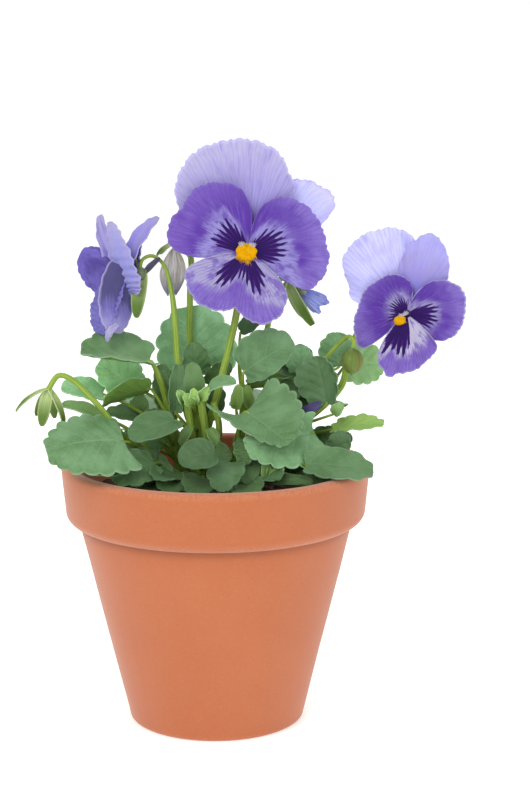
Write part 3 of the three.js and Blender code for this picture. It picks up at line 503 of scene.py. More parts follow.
def clayPaint():
    pot = flowerpot
    paint = Paint("terracotta", {"Roughness": 0.82, "Specular IOR Level": 0.3, "Sheen Weight": 0.3})
    place = paint.objectPlace()
    cloud = paint.noise(place, 28, 4, 0.6)
    grain = paint.noise(place, 900, 3, 0.65)
    fleck = paint.noise(place, 1500, 1, 0.5)
    x, y, z = paint.split(place)
    paint.shade = paint.mix(paint.smooth(cloud, 0.3, 0.72), pot["clayWarm"], pot["clay"])
    paint.cover(paint.smooth(grain, 0.45, 0.75) * 0.15, pot["clayPale"])
    # rubbed paler at the lip, the band's lower edge and the foot; on the lip and the band's edge this is also
    # a painted highlight
    lip = paint.smooth(z, (pot["height"] - 3.2) * mm, (pot["height"] - 0.6) * mm)
    edge = paint.bell(z, (bandFoot + 1.5) * mm, 1.3 * mm)
    foot = paint.smooth(z, 2.4 * mm, 0.3 * mm)
    wearAndHighlight = paint.maths("MAXIMUM", lip * 0.55, edge * 0.3)
    wearAndHighlight = paint.maths("MAXIMUM", wearAndHighlight, foot * 0.4) * paint.smooth(grain, 0.25, 0.6)
    paint.cover(wearAndHighlight, pot["clayPale"])
    # painted shadow: the clay darker in a strip just under the band
    shadow = paint.bell(z, (bandFoot - 1.2) * mm, 2.2 * mm)
    paint.cover(shadow * 0.45, pot["darkFleckAndShadow"])
    paint.cover(paint.smooth(fleck, 0.67, 0.75) * 0.3, pot["darkFleckAndShadow"])
    paint.cover(paint.smooth(fleck, 0.3, 0.24) * 0.25, pot["fleckPale"])
    paint.use("Base Color", paint.shade)
    paint.use("Roughness", 0.74 + grain * 0.16)
    rings = paint.noise(paint.vector(x * 2.0, y * 2.0, z * 260.0), 4.0, 2, 0.5)
    paint.bump(grain * 0.4 + rings * 0.5 + cloud * 0.4, 0.1, 0.45)
    return paint.material


def makeFlowerpot():
    pot = rolled(potProfile(), flowerpot["sides"])
    unevenClay(pot)
    drillDrains(pot)
    pot.data.materials.clear()
    pot.data.materials.append(clayPaint())
    finished(pot, "flowerpot", ["pot"], 35)


makeFlowerpot()
print("flowerpot made")

# Soil: a crumbly disc with loose crumbs and bark, round the feet of the stems

soil = {
    "top": 97, "crown": 2.5, "crumb": 0.9, "gap": 0.7, "sides": 150, "rings": 60,
    "looseCrumbs": 420, "crumbSize": (0.5, 1.7), "barkShare": 0.12, "barkSize": (1.4, 2.8),
    "dark": colour(38, 27, 20), "brown": colour(78, 56, 39), "pale": colour(134, 104, 76),
}


def innerRadius(z):
    pot = flowerpot
    low, high = pot["footRadius"] - pot["wall"] + 1, pot["bodyTopRadius"] - pot["wall"]
    if z <= bandFoot:
        return low + (high - low) * (z - pot["floor"]) / (bandFoot - pot["floor"])
    rise = (z - bandFoot) / (pot["height"] - pot["lipRounding"] - bandFoot)
    return high + (pot["rimRadius"] - pot["wall"] - high) * rise


soilRim = innerRadius(soil["top"]) - soil["gap"]


def soilHeight(x, y):
    wave = math.sin(0.61 * x + 0.9) * math.cos(0.53 * y) + 0.6 * math.sin(0.23 * x - 0.31 * y)
    away = (x * x + y * y) / soilRim**2
    near = Vector((x, y, 3.0))
    rough = noise.noise(near * 0.33) * 0.9 + noise.noise(near * 0.9) * 0.5
    return soil["top"] + soil["crown"] * (1 - away) + soil["crumb"] * wave + rough


def soilPaint():
    paint = Paint("pottingSoil", {"Roughness": 0.95, "Specular IOR Level": 0.25})
    place = paint.objectPlace()
    clod = paint.noise(place, 260, 4, 0.7)
    grain = paint.noise(place, 1100, 3, 0.7)
    kind, bright, seed = paint.split(paint.tagged("tone"))
    paint.shade = paint.mix(paint.smooth(clod, 0.35, 0.68), soil["dark"], soil["brown"])
    paint.cover(paint.smooth(grain, 0.6, 0.74) * 0.45, soil["pale"])
    paint.cover(kind * 0.6, soil["pale"])
    paint.use("Base Color", paint.shade)
    paint.bump(clod * 0.7 + grain * 0.5, 0.9, 0.9)
    return paint.material


def makeCrumbs(material):
    draw = random.Random(11)
    bpy.ops.object.select_all(action="DESELECT")
    bpy.ops.mesh.primitive_ico_sphere_add(subdivisions=2, radius=1)
    model = bpy.context.object
    points = readPoints(model)
    for point in points:
        point *= 1 + 0.45 * noise.noise(Vector(point) * 1.9)
    crumbs = []
    for i in range(soil["looseCrumbs"]):
        reach = soilRim * math.sqrt(draw.random()) * 0.97
        angle = draw.random() * 2 * math.pi
        x, y = reach * math.cos(angle), reach * math.sin(angle)
        bark = draw.random() < soil["barkShare"]
        size = draw.uniform(*soil["barkSize" if bark else "crumbSize"])
        stretch = np.array([1, draw.uniform(0.55, 1), draw.uniform(0.3, 0.5) if bark else 0.75])
        turn = draw.random() * math.pi
        c, s = math.cos(turn), math.sin(turn)
        spin = np.array([[c, -s, 0], [s, c, 0], [0, 0, 1]])
        crumb = model.copy()
        crumb.data = model.data.copy()
        bpy.context.collection.objects.link(crumb)
        place = np.array([x, y, soilHeight(x, y) + 0.15 * size])
        movePoints(crumb, (points * stretch * size) @ spin.T + place)
        tag(crumb, "tone", draw.uniform(0.5, 1) if bark else draw.uniform(0, 0.3), 0.5, draw.random())
        crumb.data.materials.append(material)
        crumbs.append(crumb)
    bpy.data.objects.remove(model)
    return crumbs


def makeSoil():
    low = flowerpot["floor"] + 0.3
    walls = [(0, low), (innerRadius(low) - soil["gap"], low), (innerRadius(bandFoot) - soil["gap"], bandFoot)]
    surface = [(soilRim * (1 - i / soil["rings"]), soil["top"]) for i in range(soil["rings"] + 1)]
    disc = rolled(np.array(walls + surface), soil["sides"])
    points = readPoints(disc) / mm
    for point in points:
        if point[2] > soil["top"] - 1:
            point[2] = soilHeight(point[0], point[1])
    movePoints(disc, points)
    tag(disc, "tone", 0, 0.5, 0.5)
    material = soilPaint()
    disc.data.materials.append(material)
    whole = joined([disc, *makeCrumbs(material)])
    finished(whole, "pottingSoil", ["soil"], 60)


makeSoil()
print("soil made")

# Leaves: one surface for every blade, with scalloped edges, sunken veins and raised cells

leafForm = {
    "neck": 25, "blunt": 12, "skew": 1.15, "back": 0.05, "backLean": 0, "teeth": 5, "scallop": 0.13,
    "slip": 0.25, "lobes": 3, "ribs": 0, "cup": 1.5, "arch": 1.5, "lean": 0, "level": 0.68, "middle": 0.42,
    "ripple": 0.45, "vein": 0.15, "rows": 64, "columns": 32, "thickness": 0.5,
}
leafKinds = {
    "plain": {"scallop": 0.04, "teeth": 4, "lobes": 2, "ripple": 0.3},
    "small": {"scallop": 0.15, "teeth": 4, "lobes": 3, "rows": 46, "columns": 22},
    "large": {"lobes": 4, "teeth": 7, "rows": 90, "columns": 44},
    "young": {
        "scallop": 0.1, "teeth": 3, "lobes": 2, "neck": 20, "ripple": 0.15, "vein": 0.1,
        "rows": 28, "columns": 16,
    },
    "sepal": {
        "scallop": 0, "neck": 14, "cup": 0.5, "arch": 0.6, "ripple": 0.1, "vein": 0.06,
        "rows": 18, "columns": 10,
    },
    "petal": {
        "scallop": 0.05, "teeth": 7, "lobes": 4, "skew": 1, "blunt": 16, "vein": 0,
        "rows": 48, "columns": 36,
    },
}
veins = {"first": 0.08, "apart": 0.17, "forward": 0.3, "bend": 0.9}
leafLight = [(0.0, (0.36, 0.41, 0.33, 1)), (1.0, (2.9, 2.8, 2.95, 1))]  # each leaf's painted light and shade, from a shaded leaf to a lit one
# the top of the scale of painted light given to the leaves
paintedLightTop = 1.6
leafGlow = (0.6, 1.0, 0.3)
leafColours = colours(
    mature=(114, 154, 114), matureDeep=(86, 126, 84), young=(136, 170, 84), vein=(150, 182, 138),
    rim=(150, 184, 148), under=(102, 140, 42), underVein=(150, 180, 108), stem=(120, 146, 40),
    stemDeep=(66, 98, 12), stemPale=(160, 182, 88), sepal=(140, 164, 90), sepalPale=(184, 200, 146),
    sepalDeep=(74, 106, 24), dusk=(74, 64, 92),
)


def leaf(kind, width, base, tip, face, *petiole, **more):
    # places are in millimetres; the ones after the face lead the petiole; the rest replaces leafForm
    return {"kind": kind, "width": width, "base": base, "tip": tip, "face": face, "petiole": petiole, **more}


def stalk(radius, *route, taper=(1.12, 1)):  # the taper is spread evenly along the route
    return {"radii": [radius * share for share in taper], "route": route}


def leafSurface(given, t, v, seed):
    leaf = {**leafForm, **leafKinds.get(given["kind"], {}), **given}
    base = np.array(leaf["base"], float)
    along = np.array(leaf["tip"], float) - base
    length = np.linalg.norm(along)
    place = bladeFrame(base, along, leaf["face"])
    first, last = math.radians(leaf["neck"]), math.pi - math.radians(leaf["blunt"])
    phi = first + (last - first) * t
    start = ((1 - math.cos(first)) / 2) ** leaf["skew"]
    end = ((1 - math.cos(last)) / 2) ** leaf["skew"]
    run = (((1 - np.cos(phi)) / 2) ** leaf["skew"] - start) / (end - start)
    back = leaf["back"] * (1 + leaf["backLean"] * v) * v * v * (1 - t) ** 2
    x = length * (run - back)
    y = leaf["width"] / 2 * np.sin(phi) * v * (1 + leaf["lean"] * v)
    teeth = abs(np.sin(math.pi * leaf["teeth"] * t + leaf["slip"] * v)) ** 0.62
    push = leaf["scallop"] * (teeth - leaf["level"]) * abs(v**3)
    x = x + (x - leaf["middle"] * length) * push
    y = y + y * push
    height = 4 * leaf["arch"] * run * (1 - run) + leaf["cup"] * v * v * np.sin(phi)
    wave = np.sin(2 * math.pi * (leaf["lobes"] * t + seed)) * np.sign(v + 0.001)
    height = height + leaf["ripple"] * wave * abs(v) ** 3 * np.sin(math.pi * t)
    size = min(1, leaf["width"] / 22)
    step = (t - veins["forward"] * abs(v) ** veins["bend"] - veins["first"]) / veins["apart"]
    cell = np.cos(2 * math.pi * step) * np.sin(math.pi * np.clip(abs(v), 0, 1)) ** 0.6
    middle = np.exp(-((y / (0.9 * size)) ** 2))
    height = height - leaf["vein"] * size * (cell + 1.6 * middle)
    height = height + leaf["ribs"] * np.sin(24 * math.pi * t + 2 * v) * np.sin(math.pi * t) ** 0.5
    return place(x, y, height)


def makeBlade(leaf, faces, tone, seed):
    form = {**leafForm, **leafKinds.get(leaf["kind"], {}), **leaf}
    obj = flatGrid(form["columns"], form["rows"])
    grid = readPoints(obj)
    movePoints(obj, leafSurface(leaf, (grid[:, 1] + 1) / 2, grid[:, 0], seed))
    tag(obj, "tone", *tone)
    for material in faces:
        obj.data.materials.append(material)
    thicken(obj, form["thickness"])
    return obj


def veinMarks(paint):  # how much of a vein or of the rim each point of a blade is
    u, t, unused = paint.split(paint.gridPlace())
    v = u * 2 - 1
    side = abs(v)
    step = (t - veins["forward"] * side ** veins["bend"] - veins["first"]) / veins["apart"]
    step = paint.maths("FRACT", step + 10)
    apart = 0.5 - abs(step - 0.5)
    branch = paint.smooth(apart, 0.085, 0.01) * paint.smooth(side, 1.0, 0.35)
    rib = paint.smooth(side, 0.045, 0.008) * paint.smooth(t, 1.0, 0.5)
    rim = paint.smooth(side, 0.93, 0.99)
    tip = paint.smooth(t, 0.965, 0.995)
    return paint.maths("MAXIMUM", branch * 0.7, rib), paint.maths("MAXIMUM", rim, tip)


def bladePaint(name, under):
    shades = leafColours
    paint = Paint(name, {"Specular IOR Level": 0.35, **soft(0.12, leafGlow, 0.8)})
    place = paint.objectPlace()
    age, bright, seed = paint.split(paint.tagged("tone"))
    vein, rim = veinMarks(paint)
    cloud = paint.noise(place, 90, 3, 0.55)
    net = paint.cellEdge(place, 620)
    netLine = paint.smooth(net, 0.12, 0.0)
    paint.shade = paint.mix(paint.smooth(cloud, 0.32, 0.7), shades["matureDeep"], shades["mature"])
    paint.cover(age, shades["young"])
    if under:
        # painted shade: the under faces take about half the painted light
        bright = bright * 0.5 + 0.06
        paint.cover(0.62, shades["under"])
        paint.cover(vein * 0.55, shades["underVein"])
    else:
        paint.cover(netLine * 0.1, shades["vein"])
        paint.cover(vein * 0.26, shades["vein"])
    paint.cover(rim * 0.42, shades["rim"])
    # painted light and shade: the whole leaf made darker or lighter by how lit it is
    paint.cover(1.0, paint.ramp(bright, leafLight), "MULTIPLY")
    paint.use("Base Color", paint.shade)
    paint.use("Roughness", 0.5 + cloud * 0.18)
    fine = paint.noise(place, 1900, 2, 0.6)
    paint.bump(fine * 0.35 + net * 1.6 - vein * 0.8, 0.16, 0.5)
    return paint.material


def stemPaint(name, main, deep, pale):
    paint = Paint(name, {"Specular IOR Level": 0.15, **soft(0.15, leafGlow, 1.0)})
    u, t, unused = paint.split(paint.gridPlace())
    place = paint.objectPlace()
    x, y, z = paint.split(place)
    age, bright, seed = paint.split(paint.tagged("tone"))
    streak = paint.noise(paint.vector(u * 9, t * 1.2, seed * 7), 2.0, 3, 0.6)
    cloud = paint.noise(place, 120, 3, 0.5)
    paint.shade = paint.mix(paint.smooth(streak, 0.35, 0.68), main, pale)
    # painted shade: the stems darker low down under the leaves; the cloud adds patches of deeper green
    low = paint.smooth(z, 0.142, 0.112)
    paint.cover(paint.maths("MAXIMUM", low * 0.85, paint.smooth(cloud, 0.55, 0.75) * 0.4), deep)
    paint.cover(age * 0.3, leafColours["young"])
    paint.use("Base Color", paint.shade)
    paint.use("Roughness", 0.42 + cloud * 0.2)
    paint.bump(streak * 0.8 + paint.noise(place, 1500, 2, 0.5) * 0.25, 0.15, 0.5)
    return paint.material


def sepalPaint():
    paint = Paint("sepalGreen", {"Specular IOR Level": 0.3, "Roughness": 0.55, **soft(0.15, leafGlow, 0.8)})
    u, t, unused = paint.split(paint.gridPlace())
    age, dusk, seed = paint.split(paint.tagged("tone"))
    streak = paint.noise(paint.vector(u * 9, t * 1.2, seed * 7), 2.0, 3, 0.6)
    paint.shade = paint.mix(paint.smooth(streak, 0.38, 0.66), leafColours["sepal"], leafColours["sepalPale"])
    low = paint.smooth(t + (streak - 0.5) * 0.4, 0.3, 0.75)
    paint.cover(low * age, leafColours["sepalDeep"])
    edge = paint.smooth(abs(u * 2 - 1), 0.75, 0.98)
    paint.cover(edge * 0.45, leafColours["sepalPale"])
    paint.cover(dusk, leafColours["dusk"])
    paint.use("Base Color", paint.shade)
    paint.bump(streak, 0.15, 0.5)
    return paint.material


leafTop = bladePaint("leafTop", False)
leafUnder = bladePaint("leafUnder", True)
greenStem = stemPaint("greenStem", leafColours["stem"], leafColours["stemDeep"], leafColours["stemPale"])
sepalGreen = sepalPaint()
print("leaf and stem finishes made")

# Leafy stems: root in the soil, main stem, flower stalks, sepals and leaves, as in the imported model

stemSizes = {
    "rootDepth": 14.7, "stem": (2.3, 2.25, 1.7), "ridge": 0.07, "petioleRidge": 0.1, "sides": (20, 16, 12),
    "petiole": (1.05, 0.85, 0.5), "petioleEnd": 0.1, "petioleSink": 0.65,
}
leftFrontStem = {
    "root": (-17, -11), "stem": [(-19, -14, 108), (-27, -20, 117)],
    "stalks": [
        stalk(1.1, (-26, -19, 116), (-36, -20, 124), (-47.6, -24, 139.5), (-57.8, -26, 150.2),
            (-62.8, -26, 151.6), (-67, -26, 146)),
    ],
    "sepals": [
        leaf("sepal", 3.6, (-67, -26, 146), (-80, -29, 137.3), (-0.6, -0.3, 0.8), arch=1.5),
        leaf("sepal", 5.4, (-67, -26, 146), (-69.7, -29, 131.3), (-0.2, -1, 0)),
        leaf("sepal", 3.8, (-67, -26, 146), (-61.2, -25, 130.4), (0.8, -0.5, 0.3), arch=1.5),
        leaf("sepal", 4.4, (-67, -26, 146), (-65.5, -20, 133), (0.2, 1, 0.3)),
        leaf("sepal", 4, (-67, -26, 146), (-73, -20, 134), (-0.6, 0.7, 0.3)),
    ],
    "leaves": [
        leaf("large", 34, (-36, -34, 125.9), (-66, -45, 124), (-0.1, -0.6, 0.75), (-26, -19, 116),
            (-32, -27, 123), age=0.15, bright=0.36, neck=50, back=0.1, backLean=-0.6, cup=-2.5, arch=3),
        leaf("small", 13, (-18, -26, 109), (-23, -44, 112.6), (0.2, -0.5, 0.85), (-17, -11, 102), age=0.1,
            bright=0.12),
        leaf("small", 17, (-24, -31, 116.4), (-40, -42.5, 111.6), (0.1, -0.7, 0.7), (-18, -13, 104),
            (-20, -24, 113), age=0.1, bright=0.1),
        leaf("young", 6, (-47, -13, 132), (-62.8, -20, 138.5), (0, -0.7, 0.7), (-22, -16, 112),
            (-36, -9, 126), age=0.5, bright=0.5),
        leaf("small", 13, (-23, -27, 116), (-40.7, -36, 114.4), (0.1, -0.8, 0.5), (-19, -15, 108),
            bright=0.05),
        leaf("small", 8, (-25, -28, 110), (-37.4, -38, 108.3), (0, -0.8, 0.5), (-17, -12, 104),
            bright=0.03),
        leaf("small", 9, (-37, -37, 115), (-48, -41.5, 115), (0, -0.7, 0.7), (-21, -16, 111),
            (-28, -28, 114), bright=0.15),
        leaf("small", 7, (-26.7, -23, 118.7), (-16.2, -30, 108), (0.3, -0.9, 0.2), (-21, -16, 111),
            bright=0),
    ],
}

leftStem = {
    "root": (-15, 2), "stem": [(-16, 2, 112), (-19, 0, 126), (-19.5, -1, 132)],
    "leaves": [
        leaf("full", 27, (-26.9, -7, 154.6), (-55, -14, 159), (0.05, -0.3, 0.95), (-19, 0, 130),
            (-23, -4, 146), bright=0.35, stout=1.6, cup=5, arch=0.8, neck=32, back=0.1),
        leaf("full", 18, (-33, 2, 141.5), (-49, -1, 153), (-0.1, -0.85, 0.5), (-18.5, 1, 126),
            (-24, 2, 136), age=0.05, bright=1.3),
        leaf("small", 11, (-47, -3, 140), (-64, -8, 143.5), (0, -0.7, 0.7), (-18, 1, 120), (-32, 0, 132),
            age=0, bright=1),
        leaf("small", 14, (-27.4, -3, 142.5), (-46, -15, 138), (0.1, 0.75, 0.65), (-19, -1, 129), age=0.5,
            bright=0.45),
        leaf("young", 7.5, (-31, 4, 130.5), (-34, 3, 141), (0, -1, 0.1), (-17, 2, 116), age=0.5,
            bright=0.3),
        leaf("small", 10, (-16.5, 6, 135), (-24.4, 6, 151), (0.2, -1, 0.1), (-18, 2, 122), age=0.1,
            bright=0.3),
        leaf("small", 9, (-21.5, 3, 132), (-24.2, 2, 149.4), (0.3, -0.9, 0.2), (-18, 1, 120), bright=0.3),
        leaf("small", 7, (-31.2, 2, 129.3), (-45.8, -4, 132.6), (0, -0.8, 0.5), (-17, 1, 120), bright=0.12),
        leaf("small", 9, (-22, -8, 128), (-30, -14, 133), (0, -0.8, 0.5), (-18, 0, 118), bright=0.1),
        leaf("small", 15, (-24, -24, 109), (-33, -40, 106.4), (0, -0.75, 0.65), (-16, -6, 105),
            bright=0.06),
        leaf("small", 12, (-24, -2, 120), (-38, -6, 121), (0, -0.8, 0.5), (-16, 1, 110), bright=0.05),
    ],
}

backLeftStem = {
    "root": (-9, 13), "stem": [(-9, 14, 115), (-9, 14, 134)],
    "stalks": [
        stalk(1.25, (-9, 14, 132), (-11.4, 18, 157.8), (-11.3, 20, 181), (-11, 20, 196), (-14, 20, 201.8),
            (-18, 20, 201.2)),
    ],
    "sepals": [
        leaf("sepal", 3, (-17.8, 20, 201.2), (-25, 15, 196.5), (-0.3, -0.5, 0.8)),
        leaf("sepal", 3, (-17.8, 20, 201.2), (-10.5, 14, 195), (0.5, -0.5, 0.7)),
        leaf("sepal", 3, (-17.8, 20, 201.2), (-24, 27, 196), (-0.4, 0.6, 0.7)),
        leaf("sepal", 3, (-17.8, 20, 201.2), (-11, 27, 196), (0.5, 0.6, 0.7)),
    ],
    "leaves": [
        leaf("full", 12.5, (-8, 12, 146), (-9.8, 8.5, 160.2), (0.1, -0.9, 0.35), (-9, 14, 130), age=0.1,
            bright=0.3),
        leaf("full", 34, (-7, 22, 147.5), (-12.3, 25, 173.5), (-0.05, -0.9, 0.3), (-9, 14, 130), age=0.1,
            bright=1, neck=48, back=0.15),
        leaf("small", 18, (-24, 14, 112.5), (-42, 20, 117), (-0.1, -0.55, 0.85), (-9, 14, 103), age=0.1,
            bright=0.15),
        leaf("full", 24, (-26, 26, 126), (-50, 40, 130), (-0.2, 0.2, 0.95), (-9, 14, 108), (-18, 22, 120),
            neck=45, back=0.2, arch=3),
        leaf("full", 26, (-10, 32, 128), (-16, 58, 124), (0, 0.3, 0.95), (-9, 14, 112), (-9, 24, 124),
            neck=45, back=0.2, arch=3),
        leaf("small", 16, (-26, 38, 111), (-42, 54, 114), (-0.2, 0.2, 0.95), (-9, 14, 102), (-17, 28, 109)),
        leaf("small", 10, (-13.6, 8, 130.7), (-11.8, 8, 150.2), (-0.2, -1, 0.1), (-9, 13, 118),
            bright=0.25),
        leaf("small", 12, (-6, 6, 128), (2, 4, 142), (0, -1, 0.2), (-9, 13, 118), bright=0.05),
        leaf("small", 9, (-3, 8, 142), (6, 6, 152), (0, -1, 0.2), (-9, 13, 128), bright=0.05),
    ],
}

middleStem = {
    "root": (-6, -5), "stem": [(-6, -5, 112), (-7, -5, 124), (-7.5, -6, 134)],
    "stalks": [
        stalk(1.3, (-7, -5, 118), (-12.9, -4, 137), (-15.7, -3, 154.4), (-17.9, -2, 182),
            (-21.5, -1, 194.5), (-26, -0.8, 197.8), (-30, -1.4, 196.2), (-31, -2, 192),
            taper=(1.12, 1.06, 1, 1, 0.62, 0.55)),
        stalk(1.4, (-6, -5, 116), (2.8, -3, 148), (8.7, 0, 173), (11, 3, 190), (12.4, 2, 200),
            (13.2, -2, 202.5), (13.5, -6, 200.4)),
        stalk(1.45, (-6, -8, 107), (-8.8, -10, 120), (-10.6, -11, 131), (-11.6, -12, 138)),
        stalk(1.6, (-5, -8, 107), (-3.6, -10, 120), (-4.6, -11, 130), (-6, -12, 139)),
        stalk(1.3, (-3, -8, 106), (0.6, -10, 116), (1.6, -10, 128), (-0.6, -11.5, 138)),
    ],
    "sepals": [
        leaf("sepal", 6.4, (-29.7, -1.6, 191.5), (-32.6, -4.2, 172.4), (-0.3, -0.95, 0), arch=1),
        leaf("sepal", 2.8, (-31.1, -0.8, 191.6), (-28, 1, 205.2), (-1, -0.3, 0.35), arch=3, dusk=0.6),
        leaf("sepal", 2.8, (-29.6, -1.4, 190.2), (-22.6, -3, 197.2), (-0.3, -0.9, 0.5), arch=0.4,
            dusk=0.95),
    ],
    "leaves": [
        leaf("plain", 17, (-16, -18, 131.5), (-33.4, -31, 126), (-0.2, -0.6, 0.75), (-7, -5, 121), age=0.1,
            bright=0.15),
        leaf("young", 8.5, (-8, -9, 139), (-9.5, -9, 154.4), (0.1, -1, 0.05), (-7.5, -6, 130), age=0.3,
            bright=0.2, cup=1),
        leaf("young", 8, (-2, -13, 143.5), (9, -16, 147), (0, -0.5, 0.85), (-7, -6, 128), age=0.2,
            bright=0.45),
        leaf("plain", 14.5, (0.8, -39.5, 121.8), (-13.6, -44, 120.2), (0, -0.75, 0.65), (-6, -6, 108),
            (-6, -32, 120), age=0.1, bright=0.03),
        leaf("young", 4.5, (-12.5, -10, 138), (-15.5, -14, 143.5), (0, -1, 0.4), (-7.5, -6, 131), age=0.7,
            bright=0.6),
        leaf("small", 7.5, (-16.6, -5, 133), (-15.5, -5, 153), (0.2, -1, 0.1), (-8, -5, 122), bright=0.25),
        leaf("young", 4.5, (-9.5, -12, 137), (-12.6, -15, 142.4), (0, -1, 0.3), (-7.6, -6, 132),
            scallop=0.25, age=0.8, bright=0.6),
        leaf("young", 4.6, (-6.2, -12, 139.5), (-2.4, -14, 144.8), (0.2, -1, 0.3), (-7.6, -6, 132),
            scallop=0.25, age=0.8, bright=0.6),
        leaf("young", 4, (-8.4, -12, 138), (-8.6, -15, 144.6), (0, -1, 0.2), (-7.6, -6, 132), scallop=0.25,
            age=0.9, bright=0.7),
        leaf("young", 4, (-10, -14, 128), (-14, -17, 121), (-0.2, -1, 0.2), (-7, -5, 125), scallop=0.2,
            age=0.6, bright=0.25),
        leaf("young", 4.5, (-2.4, -13, 127), (1.5, -16, 120), (0.2, -1, 0.2), (-6, -5, 122), scallop=0.2,
            age=0.6, bright=0.25),
        leaf("small", 16, (-13, -26, 111), (-19, -43, 106.6), (0, -0.75, 0.65), (-8, -8, 106), bright=0.05),
        leaf("small", 15, (-4, -30, 110), (-7, -47, 106), (0, -0.75, 0.65), (-6, -8, 105), bright=0.03),
        leaf("small", 9, (-2, -14, 118), (7, -22, 116), (0, -0.9, 0.4), (-6, -6, 110), bright=0.04),
    ],
}

rightStem = {
    "root": (8, 2), "stem": [(8, 2, 112), (11, 2, 126), (12, 1, 136)],
    "stalks": [
        stalk(1.1, (11, 2, 128), (16, 3, 146), (22, 4, 168), (25, 5, 182), (27.5, 4, 188), (30, 3, 187.5)),
        stalk(0.9, (11, 2, 122), (22, -4, 134), (29, -6, 133), (34.4, -7.6, 130.6)),
        stalk(0.85, (12, 1, 128), (28, 2, 140), (42, 1.5, 150), (48, 0, 157), (53.4, -3, 163),
            (55.8, -5.4, 164.8), (57.6, -6, 163), (57.2, -6, 160.3)),
    ],
    "sepals": [
        leaf("sepal", 5.5, (30.4, 2.8, 187), (40.9, -1, 169), (-0.5, -0.8, -0.3), arch=1, blunt=30),
        leaf("sepal", 4.5, (30.4, 2.8, 187), (37, 7, 171), (-0.5, 0.8, -0.3), arch=1),
        leaf("sepal", 3, (30.4, 2.8, 187), (28.5, 1, 179), (-0.8, -0.5, 0), arch=1),
    ],
    "leaves": [
        leaf("full", 19.5, (11.9, -5, 149.9), (32.3, -9, 163.6), (0.05, -0.95, 0.3), (12, 1, 134), age=0.1,
            bright=0.25, lean=-0.2, neck=36, back=0.03, scallop=0.08, cup=1),
        leaf("small", 11.5, (35.6, 7, 147), (35.6, 9, 159), (0, -1, 0.1), (11, 2, 122), (26, 6, 136),
            age=0.1, bright=0.9),
        leaf("full", 18, (46.8, -2, 135.6), (42, -5, 156.4), (-0.25, -0.95, 0.1), (12, 1, 120),
            (32, -1, 126), age=0.2, bright=0.12, neck=18, skew=0.8, lean=-0.2, cup=3, arch=-1),
        leaf("full", 16, (52.6, 6, 150.5), (50.8, 4, 165.2), (-0.3, -0.85, 0.3), (12, 2, 124), (36, 5, 142),
            age=0.1, bright=0.6),
        leaf("full", 14, (14, 3, 144), (35, 4, 146.5), (0, -0.2, 0.97), (12, 1, 135), age=0.1, bright=0.08),
        leaf("small", 7, (13.5, 0, 143.4), (34.5, -1, 144.6), (0, 0.9, 0.4), (12, 1, 136), age=0.6,
            bright=0.4),
        leaf("young", 5, (8.7, -6, 134.6), (10, -8, 145), (0, -1, 0.2), (10, 0, 124), age=1, bright=0.42),
        leaf("young", 5, (14.1, -2, 134.3), (12.8, -2, 144), (0, -1, 0.2), (11, 2, 124), age=1,
            bright=0.34),
        leaf("small", 10, (27, 2, 136.6), (35.5, 0, 144.6), (0, -0.95, 0.3), (12, 1, 128), bright=0.04),
        leaf("small", 9, (31.4, 6, 133.8), (41.1, 5, 139.5), (0, -0.95, 0.3), (11, 2, 124), bright=0.05),
        leaf("small", 9, (22, 6, 137), (30.5, 6, 143.5), (0, -0.95, 0.3), (12, 2, 128), bright=0.08),
        leaf("small", 12, (32.3, 10, 146), (38.2, 12, 158.2), (0, -0.95, 0.3), (12, 2, 132), (24, 8, 138),
            bright=0.4),
        leaf("young", 7, (10.6, 5, 165.5), (18.7, 6, 171), (0, -0.9, 0.4), (12, 2, 134), (10, 6, 150),
            age=0.2, bright=0.08),
        leaf("young", 5, (49.7, -4, 131.7), (53.4, -5, 136.4), (0, -0.9, 0.4), (12, 1, 118), (34, -2, 126),
            age=0.6, bright=0.5),
        leaf("small", 13, (24, -2, 120), (38, -4, 121), (0, -0.9, 0.4), (9, 2, 112), bright=0.03),
    ],
}

